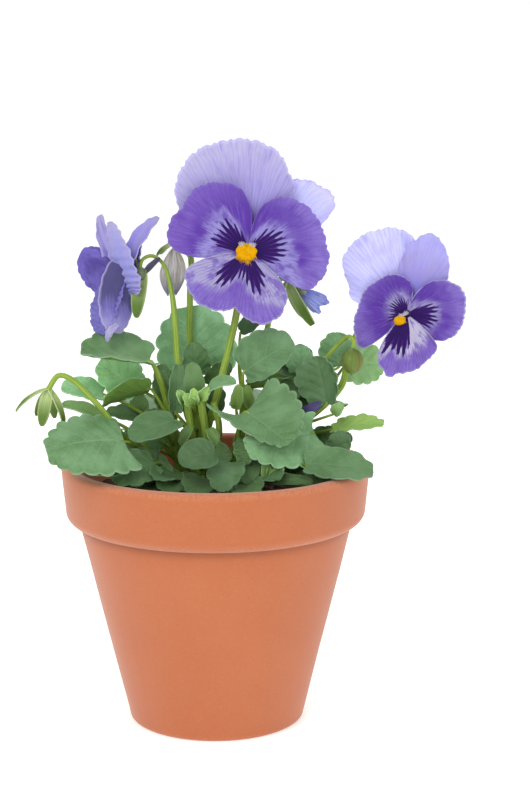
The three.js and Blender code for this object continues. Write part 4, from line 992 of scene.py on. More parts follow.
rightFrontStem = {
    "root": (6, -12), "stem": [(8, -13, 108), (14, -15, 118)],
    "leaves": [
        leaf("large", 31, (13, -22, 136), (30, -37, 125.5), (-0.1, -0.5, 0.85), (11, -14, 114),
            (10, -17, 130), age=0.1, bright=0.3, neck=68, back=0.4, backLean=0.35, lean=-0.3, scallop=0.11,
            cup=2.2, arch=1),
        leaf("large", 25, (41, -18, 126.6), (13, -35, 123.4), (0.15, -0.8, 0.6), (14, -15, 116),
            (34, -13, 123), age=0.05, bright=0.6, lean=-0.2, neck=50, back=0.14, cup=1),
        leaf("full", 17, (37, -34, 116.5), (64.8, -31, 113), (0.15, -0.6, 0.8), (10, -14, 110),
            (26, -26, 113), age=0.1, bright=0.24),
        leaf("small", 15, (6, -32.4, 117), (3, -48, 108.4), (0, -0.8, 0.6), (7, -13, 104), (5, -26, 115),
            age=0.1, bright=0.12, neck=45, back=0.1),
        leaf("small", 13, (16, -26, 108.5), (27, -42, 112.4), (-0.1, -0.5, 0.85), (6, -12, 102), age=0.1,
            bright=0.1),
        leaf("small", 10, (49.5, -8, 115), (54, -8, 125), (0, -1, 0.2), (10, -14, 108), (34, -12, 112),
            age=0.1, bright=0.1),
        leaf("small", 9.5, (13, -25, 124.6), (12.3, -32, 115.8), (0, -0.95, 0.2), (10, -14, 113),
            (11, -19, 122), ribs=0.3, bright=0.25),
        leaf("small", 9, (15.5, -24, 118.3), (13.2, -38, 109), (0.1, -0.9, 0.4), (9, -13, 110),
            bright=0.04),
        leaf("young", 4.5, (22, -32, 110), (20.8, -34, 118), (0, -1, 0.2), (8, -13, 106), (16, -24, 107),
            age=0.9, bright=0.4),
        leaf("young", 4, (22.8, -32, 110), (24.4, -34, 118.6), (0, -1, 0.2), (8, -13, 106), (16, -24, 107),
            age=0.9, bright=0.45),
        leaf("young", 4.5, (23.4, -32, 109.6), (28.2, -36, 116.5), (0, -1, 0.2), (8, -13, 106),
            (16, -24, 107), age=0.9, bright=0.35),
        leaf("small", 14, (12, -34, 108.5), (16, -50, 106), (0, -0.75, 0.65), (7, -15, 105), bright=0.05),
        leaf("small", 10, (33, -30, 109), (48, -34, 107.5), (0, -0.75, 0.65), (9, -15, 105), (20, -26, 107),
            bright=0.04),
        leaf("small", 9, (27.8, -18, 107.8), (40.1, -22, 110.4), (0, -0.9, 0.4), (8, -13, 105), bright=0),
        leaf("small", 5, (21, -33, 109.4), (40, -38, 109.8), (0, -0.8, 0.6), (7, -13, 105), (15, -25, 107),
            bright=0.02),
    ],
}

backRightStem = {
    "root": (10, 14), "stem": [(14, 14, 110), (26, 11, 118), (36, 7, 126)],
    "stalks": [
        stalk(1.35, (34, 8, 124), (46, 6, 134), (53.5, 6, 143), (57, 10, 158), (66, 11, 172),
            (74, 9, 178.2), (79, 4, 179.2), (80.6, -2, 175.8)),
    ],
    "leaves": [
        leaf("full", 19, (56, 13, 150.6), (71.4, 17, 149.8), (0.1, -0.9, 0.3), (36, 8, 125), (48, 12, 140),
            age=0.3, bright=0.85, neck=45, back=0.15),
        leaf("full", 9, (49.5, -1, 124.5), (70.5, -7, 128), (0, -0.6, 0.8), (30, 10, 121), (42, 4, 122),
            age=1, bright=0.5, scallop=0.2, teeth=6, neck=15),
        leaf("full", 26, (16, 32, 128), (30, 54, 130), (0.1, 0.3, 0.95), (13, 14, 108), (14, 24, 122),
            neck=45, back=0.2, arch=3),
        leaf("full", 22, (33, 24, 126), (56, 36, 128), (0.2, 0.2, 0.95), (18, 13, 112), (26, 20, 122),
            neck=45, back=0.2, arch=3),
        leaf("small", 15, (24, 38, 110), (36, 56, 114), (0.1, 0.2, 0.95), (11, 14, 104), (18, 28, 109)),
        leaf("small", 7.5, (49.7, -4, 116.9), (57.1, -6, 123.1), (0, -0.9, 0.4), (24, 11, 117),
            (38, 4, 115), age=0.1, bright=0.2),
        leaf("small", 11, (40, 6, 118), (54, 4, 120), (0, -0.9, 0.4), (22, 12, 115), bright=0.05),
    ],
}

leafAges = {"full": 0.1, "plain": 0.5, "small": 0.25, "large": 0.0, "young": 0.85}
leafTone = {"bright": 0.35, "ageSpread": 0.08, "paintedLightSpread": 0.04}
sepalSeed = 0.3


def makeSepal(sepal, tone):
    return makeBlade(sepal, (sepalGreen, sepalGreen), (*tone, sepalSeed), sepalSeed)


def makeShoot(node, shoot, blooms, seed):
    calyxes = [part for bloom in blooms for part in makeCalyx(bloom)]
    draw = random.Random(seed)
    sizes, sides = stemSizes, stemSizes["sides"]
    x, y = shoot["root"]
    route = [(x, y, soil["top"] + rise) for rise in (-sizes["rootDepth"], 0, 5)]
    stalks = [makeTube([*route, *shoot["stem"]], sizes["stem"], greenStem, sides[0], sizes["ridge"])]
    for branch in shoot.get("stalks", []):
        stalks.append(makeTube(branch["route"], branch["radii"], greenStem, sides[1], sizes["ridge"]))
    blades = []
    for given in shoot["leaves"]:
        age = given.get("age", leafAges[given["kind"]])
        age += draw.uniform(-leafTone["ageSpread"], leafTone["ageSpread"])
        # each leaf's painted light and shade, with a small random spread
        bright = given.get("bright", leafTone["bright"])
        bright += draw.uniform(-leafTone["paintedLightSpread"], leafTone["paintedLightSpread"])
        tone = (min(1, max(0, age)), bright / paintedLightTop, draw.random())
        blades.append(makeBlade(given, (leafTop, leafUnder), tone, tone[2]))
        end = leafSurface(given, np.array([sizes["petioleEnd"]]), np.array([0.0]), tone[2])[0]
        end -= unit(given["face"]) * sizes["petioleSink"]
        petiole = [*given["petiole"], given["base"], tuple(end)]
        radii = [radius * given.get("stout", 1) for radius in sizes["petiole"]]
        stalks.append(makeTube(petiole, radii, greenStem, sides[2], sizes["petioleRidge"], tone))
    tubes = joined(stalks)
    seal(tubes)
    sepals = [makeSepal(sepal, (0.9, sepal.get("dusk", 0))) for sepal in shoot.get("sepals", [])]
    first, *others = node.split("_")
    name = first + "".join(word.capitalize() for word in others)
    finished(joined([tubes, *sepals, *calyxes]), name + "Stalks", [node])
    finished(joined(blades), name + "Leaves", [node])


# Blooms: a flower has its own frame, and a petal is a fan that widens from its claw

petalForm = {
    "tilt": 0, "layer": 0, "claw": 1.6, "frill": 0.8, "frills": 4, "belly": 0, "wave": 0.22, "waves": 44,
    "nick": 0.012, "fold": 0.22, "folds": 9, "rows": 34, "columns": 190, "thickness": 0.4,
}
calyxSizes = {"radius": 2.8, "sink": 2.2, "width": 3.6, "lift": -0.25, "clear": 2.6}
petalGlow = (0.8, 0.6, 1.2)


def flowerBasis(bloom):
    face = unit(bloom["facing"])
    up = np.array(bloom["upward"], float)
    up = unit(up - np.dot(up, face) * face)
    centre = np.array(bloom["centre"], float)
    return {"centre": centre, "face": face, "up": up, "right": np.cross(up, face)}


def inFlower(basis, angle, ahead):  # a way out from the centre, with a part along the flower's face
    turn = math.radians(angle)
    flat = basis["right"] * math.cos(turn) + basis["up"] * math.sin(turn)
    return flat + basis["face"] * ahead


def rimReach(rim, turns):  # the rim is given as angles, with how far out the petal reaches there
    at, far = np.array(rim, float).T
    slope = np.empty_like(far)
    slope[1:-1] = (far[2:] - far[:-2]) / (at[2:] - at[:-2])
    slope[0] = (far[1] - far[0]) / (at[1] - at[0])
    slope[-1] = (far[-1] - far[-2]) / (at[-1] - at[-2])
    i = np.clip(np.searchsorted(at, turns) - 1, 0, len(at) - 2)
    gap = at[i + 1] - at[i]
    u = (turns - at[i]) / gap
    leave = (1 + 2 * u) * (1 - u) ** 2 * far[i] + u * (1 - u) ** 2 * gap * slope[i]
    arrive = u * u * (3 - 2 * u) * far[i + 1] + u * u * (u - 1) * gap * slope[i + 1]
    return leave + arrive


def makeFan(given, basis, faces, seed):
    petal = {**petalForm, **given}
    obj = flatGrid(petal["columns"], petal["rows"])
    grid = readPoints(obj)
    v, t = grid[:, 0], (grid[:, 1] + 1) / 2
    first, last = petal["rim"][0][0], petal["rim"][-1][0]
    turns = (first + last) / 2 - v * (last - first) / 2
    theta = np.radians(petal["angle"] - turns)
    ripple = np.sin(petal["waves"] * theta + 3 * seed) + 0.8 * np.sin(petal["waves"] * 0.37 * theta + seed)
    reach = rimReach(petal["rim"], turns) * (1 - petal["nick"] * abs(ripple) * t**3)
    r = petal["claw"] + (reach - petal["claw"]) * t
    height = petal["frill"] * np.sin(petal["frills"] * math.pi * v + 1) * t**3
    height += 4 * petal["belly"] * t * (1 - t)
    height += petal["wave"] * ripple * t**5
    height += petal["fold"] * np.sin(petal["folds"] * theta + seed) * np.sin(math.pi * t)
    tilt = math.tan(math.radians(petal["tilt"]))
    along = petal.get("toward", inFlower(basis, petal["angle"], tilt))
    claw = basis["centre"] + basis["face"] * petal["layer"]
    place = bladeFrame(claw, along, petal.get("faces", basis["face"]))
    movePoints(obj, place(r * np.cos(theta), r * np.sin(theta), height))
    tag(obj, "petal", theta, r / max(far for turn, far in petal["rim"]), t)
    tag(obj, "tone", 0.0, 0.5, seed)
    for material in faces:
        obj.data.materials.append(material)
    thicken(obj, petal["thickness"])
    return obj


def makeCalyx(bloom):
    basis = flowerBasis(bloom)
    clear = bloom.get("clear", calyxSizes["clear"])
    back = basis["centre"] - basis["face"] * bloom["depth"]
    front = basis["centre"] - basis["face"] * clear
    root = front - basis["face"] * calyxSizes["sink"]
    parts = [makeEgg(back, front, calyxSizes["radius"], sepalGreen)]
    for angle, length in bloom["sepals"]:
        along = unit(inFlower(basis, angle, calyxSizes["lift"]))
        sepal = leaf("sepal", calyxSizes["width"], root, root + along * length, basis["face"])
        parts.append(makeSepal(sepal, (0.4, 0)))
    return parts


petalColours = colours(
    violet=(112, 86, 172), violetDeep=(84, 50, 150), violetPale=(134, 114, 188), whitish=(158, 154, 188),
    ash=(146, 140, 196), chalk=(188, 184, 202), lilac=(124, 108, 180), blotch=(36, 0, 82),
    blotchPale=(88, 44, 142), lavender=(152, 144, 200), lavenderDeep=(120, 104, 188),
    lavenderPale=(174, 169, 204), blueWhite=(200, 199, 246), blueWhiteDeep=(158, 154, 222),
    skyPale=(168, 164, 218), violetLight=(126, 106, 184), yellow=(244, 180, 14), violetDusk=(70, 54, 128),
    violetClear=(108, 96, 178), skyLavender=(138, 140, 202), dusty=(102, 94, 164),
    dustyPale=(124, 120, 186), fold=(62, 58, 100), blueViolet=(138, 130, 218),
    blueVioletDeep=(108, 96, 188), blue=(150, 160, 222), blueDeep=(90, 98, 172), bluePale=(186, 196, 238),
)
petalLook = {
    "core": "violetDeep", "middle": "violetDeep", "rim": "violet", "dark": "violetDeep",
    "pale": "violetPale", "mottle": 0.5, "streaks": 28, "streakDark": 0.4, "streakPale": 0.35, "veins": 52,
    "veinShare": 0.3, "rimLine": 0.3, "spikes": 20, "whisker": 0.11, "ring": 0.0, "ringShade": "ash",
    "ringLine": "lilac", "throat": 0.0, "stray": 7, "rimShade": "violetPale",
}
lipLook = {
    "ring": 0.9, "ringLine": "violet", "middle": "violet", "rim": "violetLight", "veinShare": 0.5,
    "pale": "lilac", "streakDark": 0.6, "streakPale": 0.5, "rimLine": 0.6, "rimShade": "whitish",
}
paleLook = {
    "core": "lavender", "middle": "blueWhite", "rim": "blueWhite", "dark": "blueWhiteDeep",
    "pale": "blueWhite", "streaks": 18, "rimLine": 0.2,
}
sideLook = {
    "ringShade": "whitish", "rimLine": 0.6, "rim": "violetLight", "rimShade": "lavenderPale",
}


def outlineRamp(paint, theta, stops, least=-1.6, most=1.6):
    # how far out something reaches in each direction
    places = [((turn - least) / (most - least), (far, far, far, 1)) for turn, far in stops]
    ramp = paint.ramp((theta - least) / (most - least), places)
    ramp.socket.node.color_ramp.interpolation = "EASE"
    return paint.split(ramp)[0]


def petalPaint(name, given):
    look = {**petalLook, **given}
    shades = petalColours
    paint = Paint(name, {"Specular IOR Level": 0.18, **soft(0.15, petalGlow, 0.6)})
    theta, s, t = paint.split(paint.tagged("petal"))
    age, bright, seed = paint.split(paint.tagged("tone"))
    wide = paint.noise(paint.vector(theta * 4.5, s * 5, seed * 9), 1.0, 3, 0.55)
    streak = paint.noise(paint.vector(theta * look["streaks"], s * 3, seed * 5 + 2), 1.0, 3, 0.65)
    hair = paint.noise(paint.vector(theta * 44, s * 1.2, seed * 3 + 4), 1.0, 1, 0.5)
    wave = abs(paint.maths("SINE", theta * look["veins"] + (wide - 0.5) * look["stray"]))
    vein = paint.smooth(wave, 0.5, 0.05) * paint.smooth(streak, 0.7, 0.42)
    paint.shade = paint.mix(paint.smooth(s, 0.12, 0.62), shades[look["core"]], shades[look["middle"]])
    paint.cover(paint.smooth(s + (wide - 0.5) * 0.5, 0.5, 0.95), shades[look["rim"]])
    paint.cover(paint.smooth(wide, 0.45, 0.72) * look["mottle"], shades[look["dark"]])
    paint.cover(paint.smooth(streak, 0.5, 0.72) * look["streakDark"], shades[look["dark"]])
    paint.cover(paint.smooth(streak, 0.48, 0.28) * look["streakPale"], shades[look["pale"]])
    paint.cover(vein * look["veinShare"], shades[look["dark"]])
    if look["ring"]:
        reach = outlineRamp(paint, theta, look["ringReach"])
        near = reach - s + (streak - 0.5) * 0.24 + (wide - 0.5) * 0.36
        patch = paint.smooth(near, -0.04, 0.14) * (1 - paint.smooth(wide, 0.47, 0.64) * 0.75)
        pale = paint.mix(vein * 0.8, shades[look["ringShade"]], shades[look["ringLine"]])
        paint.cover(patch * look["ring"], pale)
    if look.get("blotch"):
        reach = outlineRamp(paint, theta, look["blotch"])
        gap = abs(paint.maths("SINE", theta * look["spikes"] + (streak - 0.5) * 1.2 + seed * 9))
        valley = paint.smooth(gap, 0.42, 1.0) - (hair - 0.4) * 1.5
        edge = reach - valley * look["whisker"] * paint.smooth(reach, 0.05, 0.35)
        inside = paint.smooth(edge - s, -0.008, 0.014) * paint.smooth(reach, 0.05, 0.14)
        line = paint.smooth(gap, 0.82, 1.0) * paint.smooth(edge - s, 0.16, 0.0)
        line = paint.maths("MAXIMUM", line, vein * paint.smooth(edge - s, 0.16, 0.0) * 0.6)
        blot = paint.mix(line * 0.6, shades["blotch"], shades["blotchPale"])
        paint.cover(inside, blot)
    if look["throat"]:
        ray = look["throat"] + (hair - 0.5) * 0.22
        aside = abs(theta - look["throatAt"])
        yellow = paint.smooth(ray - s, -0.008, 0.015) * paint.smooth(aside, 0.62, 0.4)
        paint.cover(yellow, shades["yellow"])
    paint.cover(paint.smooth(t, 0.962, 0.985) * look["rimLine"], shades[look["rimShade"]])
    paint.use("Base Color", paint.shade)
    paint.use("Roughness", 0.5 + streak * 0.2)
    paint.bump(streak * 0.9 + hair * 0.3 - vein * 0.4, 0.2, 0.5)
    return paint.material


# Main bloom: two pale upper petals, two violet side petals and a notched lip

mainBloom = {
    "centre": (13.5, -12, 200.4), "facing": (0, -1, 0.06), "upward": (0, 0, 1), "depth": 9,
    "sepals": [(90, 13), (20, 12), (160, 12), (235, 11), (305, 11)],
    "petals": {
        "FrontUpperPetal": {
            "angle": 98, "layer": -0.6, "tilt": -6, "columns": 300, "waves": 62, "folds": 14,
            "rim": [(38, 13), (41, 21), (45, 27.2), (50, 30.8), (55, 34.1), (63, 37.4), (71, 42.4),
                (82, 45.5), (92, 46.6), (102, 46.8), (114, 47), (120, 46.1), (132, 42.5), (140, 39),
                (146, 34.6), (153, 28), (159, 16)],
            "look": {"core": "lavenderDeep", "middle": "lavender", "rim": "lavenderPale",
                "dark": "lavenderDeep", "pale": "lavenderPale", "streaks": 32, "streakDark": 0.5,
                "streakPale": 0.4, "veins": 70, "veinShare": 0.27, "stray": 6, "mottle": 0.25,
                "rimLine": 0.3, "rimShade": "blueWhite"},
        },
        "BackUpperPetal": {
            "angle": 31, "layer": -1.8, "tilt": -10, "columns": 160, "waves": 56,
            "rim": [(-4, 13), (6, 24), (14, 30), (20, 33.8), (26, 40.4), (30, 42.5), (34, 43.2), (40, 41.8),
                (46, 40.4), (51, 38.4), (56, 36.3), (64, 28), (72, 13)],
            "look": {**paleLook, "streakDark": 0.4, "mottle": 0.2},
        },
        "LeftPetal": {
            "angle": 147, "layer": 0.4, "tilt": 2,
            "rim": [(80, 9), (84, 17), (88, 20), (94, 25.1), (100, 27.6), (113, 30.9), (122, 32.7),
                (130, 33.5), (140, 32.8), (145, 32), (153, 33.6), (162, 34), (170, 33.2), (176, 31.5),
                (181, 27), (186, 20), (190, 10)],
            "look": {
                "ring": 0.85,
                "blotch": [(-0.62, 0), (-0.5, 0.2), (-0.4, 0.34), (-0.26, 0.46), (-0.05, 0.44), (0.1, 0.43),
                    (0.39, 0.47), (0.6, 0.34), (0.81, 0.24), (0.95, 0)],
                "ringReach": [(-1.3, 0.8), (-0.9, 0.8), (-0.6, 0.66), (-0.3, 0.6), (0.1, 0.64), (0.5, 0.66),
                    (0.72, 0.4), (0.9, 0.2), (1.3, 0.2)],
            },
        },
        "RightPetal": {
            "angle": 14, "layer": 0.5, "tilt": 2,
            "rim": [(-39, 9), (-37, 18), (-35, 25.4), (-31, 29.8), (-23, 32), (-17, 33.1), (-9, 33.7),
                (-2, 33.8), (5, 32.8), (13, 32.7), (21, 32.3), (34, 31.4), (42, 30.2), (56, 27.2),
                (63, 24.3), (69, 21.5), (75, 16), (79, 9)],
            "look": {
                "ring": 0.85, "rim": "violetLight",
                "blotch": [(-0.9, 0), (-0.75, 0.2), (-0.59, 0.35), (-0.26, 0.46), (0, 0.47), (0.24, 0.47),
                    (0.56, 0.4), (0.75, 0.28), (0.9, 0)],
                "ringReach": [(-1.3, 0.2), (-0.95, 0.3), (-0.7, 0.5), (-0.3, 0.6), (0.1, 0.62), (0.5, 0.68),
                    (0.85, 0.84), (1.3, 0.9)],
            },
        },
        "Lip": {
            "angle": 258, "layer": 1.4, "tilt": 4, "waves": 40,
            "rim": [(183, 8), (188, 16), (192, 23), (199, 27.1), (206, 28), (214, 28.8), (225, 29.3),
                (233, 28.4), (242, 27.2), (251, 25.5), (257, 23.6), (261, 24.7), (269, 27.2), (277, 29.6),
                (284, 30.6), (291, 30.3), (299, 29.2), (307, 26.6), (313, 24.2), (319, 19), (325, 9)],
            "look": {
                **lipLook, "throat": 0.14, "throatAt": 0, "ringShade": "whitish",
                "blotch": [(-1, 0), (-0.9, 0.3), (-0.83, 0.42), (-0.56, 0.57), (-0.39, 0.56), (-0.27, 0.44),
                    (-0.04, 0.36), (0.21, 0.37), (0.35, 0.53), (0.5, 0.6), (0.82, 0.48), (0.96, 0)],
                "ringReach": [(-1.3, 1), (-1.1, 0.98), (-0.85, 0.92), (-0.6, 0.82), (-0.4, 0.72),
                    (-0.2, 0.56), (0, 0.42), (0.2, 0.46), (0.35, 0.66), (0.6, 0.74), (0.9, 0.9), (1.2, 1)],
            },
        },
    },
    "eye": {
        "width": 4.3, "height": 3.5, "ahead": 3, "at": (-0.3, 0.4), "tilt": 0,
        "tufts": [(-1.7, 2.9), (2.3, 2.5)],
    },
}

# Right bloom: a smaller one, turned a little to the right

rightBloom = {
    "centre": (79.6, -8, 174.7), "facing": (-0.22, -1, -0.02), "upward": (0.1, 0, 1), "depth": 8,
    "sepals": [(90, 10), (20, 10), (160, 10), (235, 9), (305, 9)],
    "petals": {
        "LeftUpperPetal": {
            "angle": 117, "layer": -1.8, "tilt": -8, "waves": 46,
            "rim": [(76, 10), (84, 24), (92, 30.8), (100, 34.1), (106, 35.8), (112, 36.7), (118, 37.1),
                (130, 37.9), (137, 37.5), (143, 37.2), (149, 35.5), (156, 31.8), (163, 27.8), (168, 27),
                (175, 23.3), (180, 12)],
            "look": {**paleLook, "streakDark": 0.7, "mottle": 0.4, "veins": 60, "veinShare": 0.6,
                "stray": 2.5, "rimShade": "blueWhite"},
        },
        "RightUpperPetal": {
            "angle": 73, "layer": -0.7, "tilt": -5, "waves": 40, "columns": 130,
            "rim": [(34, 8), (40, 16), (47, 21.8), (52, 24.2), (57, 27), (62, 29.1), (67, 31.1), (72, 33.1),
                (77, 34.3), (81, 34.3), (86, 33.1), (90, 30.8), (95, 29.2), (99, 25.7), (105, 21.9),
                (110, 17.5), (115, 8)],
            "look": {"core": "blueVioletDeep", "middle": "lavender", "rim": "skyPale", "dark": "blueViolet",
                "pale": "skyPale", "streaks": 18, "streakDark": 0.4, "mottle": 0.3, "rimLine": 0.2,
                "veins": 60, "veinShare": 0.35, "stray": 2.5, "rimShade": "skyPale"},
        },
        "LeftPetal": {
            "angle": 170, "layer": 0.3, "tilt": -6,
            "rim": [(76, 6), (87, 11.3), (95, 13.8), (107, 16.3), (120, 17.8), (127, 18.2), (140, 18.8),
                (150, 19.7), (161, 20.7), (173, 21.1), (183, 21.5), (194, 23.1), (202, 24.2), (212, 25.1),
                (219, 25.5), (224, 25), (227, 22), (230, 14), (232, 7)],
            "look": {
                **sideLook, "whisker": 0.1, "ring": 0.85,
                "blotch": [(-0.85, 0), (-0.66, 0.34), (-0.3, 0.27), (0.1, 0.3), (0.56, 0.29), (1.01, 0.26),
                    (1.3, 0.18), (1.45, 0)],
                "ringReach": [(-1.4, 0.3), (-0.6, 0.34), (-0.2, 0.4), (0.5, 0.43), (0.9, 0.45), (1.3, 0.36),
                    (1.5, 0.3)],
            },
        },
        "RightPetal": {
            "angle": 13, "layer": 0.4, "tilt": 4,
            "rim": [(-46, 6), (-42, 10.5), (-38, 15.5), (-32, 18.2), (-23, 20.5), (-14, 22.4), (-2, 23.6),
                (6, 24.2), (16, 25.1), (25, 25.5), (32, 25.2), (39, 23.9), (46, 22.2), (53, 19.5),
                (61, 16.3), (68, 12.2), (76, 6)],
            "look": {
                **sideLook, "ring": 0.75,
                "blotch": [(-0.6, 0), (-0.42, 0.24), (-0.25, 0.42), (-0.06, 0.52), (0.08, 0.47),
                    (0.34, 0.5), (0.55, 0.45), (0.7, 0.42), (0.89, 0.3), (1, 0)],
                "ringReach": [(-1.3, 0.25), (-0.7, 0.3), (-0.45, 0.46), (-0.2, 0.6), (0.2, 0.6),
                    (0.6, 0.54), (1, 0.6), (1.3, 0.64)],
            },
        },
        "Lip": {
            "angle": 269, "layer": 1.4, "tilt": 2, "waves": 34,
            "rim": [(228, 7), (233, 13), (237, 17.7), (241, 21.8), (246, 23.8), (252, 25.4), (259, 27.9),
                (263, 27.4), (266, 25.7), (272, 25.3), (280, 24.3), (289, 23.4), (298, 21.4), (307, 20.6),
                (317, 19.1), (322, 17), (325, 12.5), (328, 7)],
            "look": {
                **lipLook, "ringShade": "chalk",
                "blotch": [(-0.36, 0), (-0.28, 0.36), (-0.17, 0.5), (-0.06, 0.62), (0.19, 0.61),
                    (0.3, 0.58), (0.42, 0.7), (0.5, 0.68), (0.6, 0.46), (0.8, 0.3), (0.95, 0)],
                "ringReach": [(-1.2, 0.3), (-0.9, 0.5), (-0.6, 0.58), (-0.38, 0.6), (-0.1, 0.68),
                    (0.1, 0.7), (0.25, 0.62), (0.42, 0.84), (0.6, 0.76), (0.9, 0.56), (1.2, 0.4)],
            },
        },
    },
    "eye": {
        "width": 2.5, "height": 2, "ahead": 3, "at": (-2.6, -2.5), "tilt": 20,
        "tufts": [(0.8, 1.5), (2.2, 1.7), (2.9, 1.9)],
    },
}


def makePetals(name, node, bloom):
    basis = flowerBasis(bloom)
    for i, (part, petal) in enumerate(bloom["petals"].items()):
        paint = petalPaint(name + part, petal["look"])
        fan = makeFan(petal, basis, (paint, paint), 0.13 + 0.17 * i)
        pale = "Upper" in part
        which = "_upper_petals" if pale else "_lower_petals"
        finished(fan, name + part, [node + which])


# Eyes: a yellow throat, a green stigma and two tufts of white beard

eyeForm = {
    "throatHairs": 54, "tuftHairs": 44, "tuftWide": 0.26, "tuftRadius": 0.7, "plugRadius": 2.2,
    "stigma": 0.2, "lumps": (0.03, 0.025), "hollow": 0.45, "flat": 0.95,
}
eyeColours = colours(
    yellow=(210, 157, 4), amber=(198, 134, 0), stigma=(150, 150, 30), beard=(188, 180, 188),
)


def eyePaint():
    paint = Paint("yellowEye", {"Roughness": 0.6, "Specular IOR Level": 0.05})
    place = paint.objectPlace()
    grain = paint.noise(place, 900, 3, 0.6)
    paint.shade = paint.mix(paint.smooth(grain, 0.35, 0.7), eyeColours["yellow"], eyeColours["amber"])
    paint.use("Base Color", paint.shade)
    paint.bump(grain, 0.25, 0.6)
    return paint.material


def plainPaint(name, shade, roughness=0.5):
    return Paint(name, {"Base Color": shade, "Roughness": roughness}).material


yellowEye = eyePaint()
stigmaGreen = plainPaint("stigmaGreen", eyeColours["stigma"], 0.4)
beardWhite = plainPaint("beardWhite", eyeColours["beard"], 0.7)
throatDark = plainPaint("throatDark", petalColours["blotch"], 0.6)


def makeHair(root, along, length, radius, material):  # a tapering hair as a thin cone
    bpy.ops.object.select_all(action="DESELECT")
    bpy.ops.mesh.primitive_cone_add(vertices=5, radius1=1, radius2=0, depth=1)
    hair = bpy.context.object
    cone = readPoints(hair)
    place = bladeFrame(root, along, (0.3, 0.2, 0.93))
    movePoints(hair, place((cone[:, 2] + 0.5) * length, cone[:, 0] * radius, cone[:, 1] * radius))
    hair.data.materials.append(material)
    return hair


def makeEye(name, node, bloom, seed):
    draw = random.Random(seed)
    basis, eye, form = flowerBasis(bloom), bloom["eye"], eyeForm
    wide, high = eye["width"], eye["height"]
    turn = math.radians(eye["tilt"])

    def spot(right, up, ahead):
        acrossEye = right * math.cos(turn) - up * math.sin(turn) + eye["at"][0]
        upEye = right * math.sin(turn) + up * math.cos(turn) + eye["at"][1]
        flat = basis["centre"] + basis["right"] * acrossEye + basis["up"] * upEye
        return flat + basis["face"] * (eye["ahead"] + ahead)

    cushion = unitSphere(40, 24)
    ball = readPoints(cushion)
    around = np.arctan2(ball[:, 1], ball[:, 0])
    broad, fine = form["lumps"]
    lump = 1 + broad * np.sin(5 * around + 1) + fine * np.sin(9 * around)
    hollow = form["hollow"] * np.exp(-((ball[:, 0] / 0.35) ** 2 + ((ball[:, 1] - 0.35) / 0.4) ** 2))
    points = [
        spot(wide * x * k, high * y * k - 0.25, (z - cut) * form["flat"])
        for (x, y, z), k, cut in zip(ball, lump, hollow * (ball[:, 2] > 0))
    ]
    movePoints(cushion, np.array(points))
    cushion.data.materials.append(yellowEye)
    upper, lower = spot(0, high * 0.95, 0.2), spot(0, high * 0.6, 1.0)
    stigma = makeEgg(upper, lower, form["stigma"] * high, stigmaGreen, 20, 14)
    half = wide * form["tuftWide"]
    tufts = [
        makeEgg(spot(x - half, y, -0.5), spot(x + half, y, -0.5), form["tuftRadius"], beardWhite, 24, 16)
        for x, y in eye["tufts"]
    ]
    back = basis["centre"] - basis["face"] * 2
    plug = makeEgg(back, basis["centre"] + basis["face"] * 0.6, form["plugRadius"], throatDark, 24, 16)
    parts = [cushion, stigma, plug, *tufts]
    for i in range(form["throatHairs"]):
        across = draw.uniform(-0.85, 0.85)
        root = spot(wide * across, -high * (0.85 - 0.45 * across**2), draw.uniform(-0.5, 0.0))
        along = inFlower(basis, 270 + 50 * across + draw.uniform(-6, 6), draw.uniform(-0.15, 0.05))
        parts.append(makeHair(root, along, high * draw.uniform(0.2, 0.55), 0.07 * wide, yellowEye))
    for x, y in eye["tufts"]:
        for i in range(form["tuftHairs"]):
            root = spot(
                x + draw.uniform(-half, half), y + high * draw.uniform(-0.3, 0.1),
                draw.uniform(-0.3, 0.4),
            )
            along = inFlower(basis, 90 - 12 * x + draw.uniform(-40, 40), draw.uniform(0.0, 0.8))
            parts.append(makeHair(root, along, draw.uniform(0.7, 1.5), 0.2, beardWhite))
    finished(joined(parts), name + "Eye", [node + "_eye"])


makePetals("mainBloom", "main_bloom", mainBloom)
makeEye("mainBloom", "main_bloom", mainBloom, 31)
makePetals("rightBloom", "right_bloom", rightBloom)
makeEye("rightBloom", "right_bloom", rightBloom, 32)
print("main and right blooms made")

# Left bloom, seen from its side and back: six oval petals round a small core

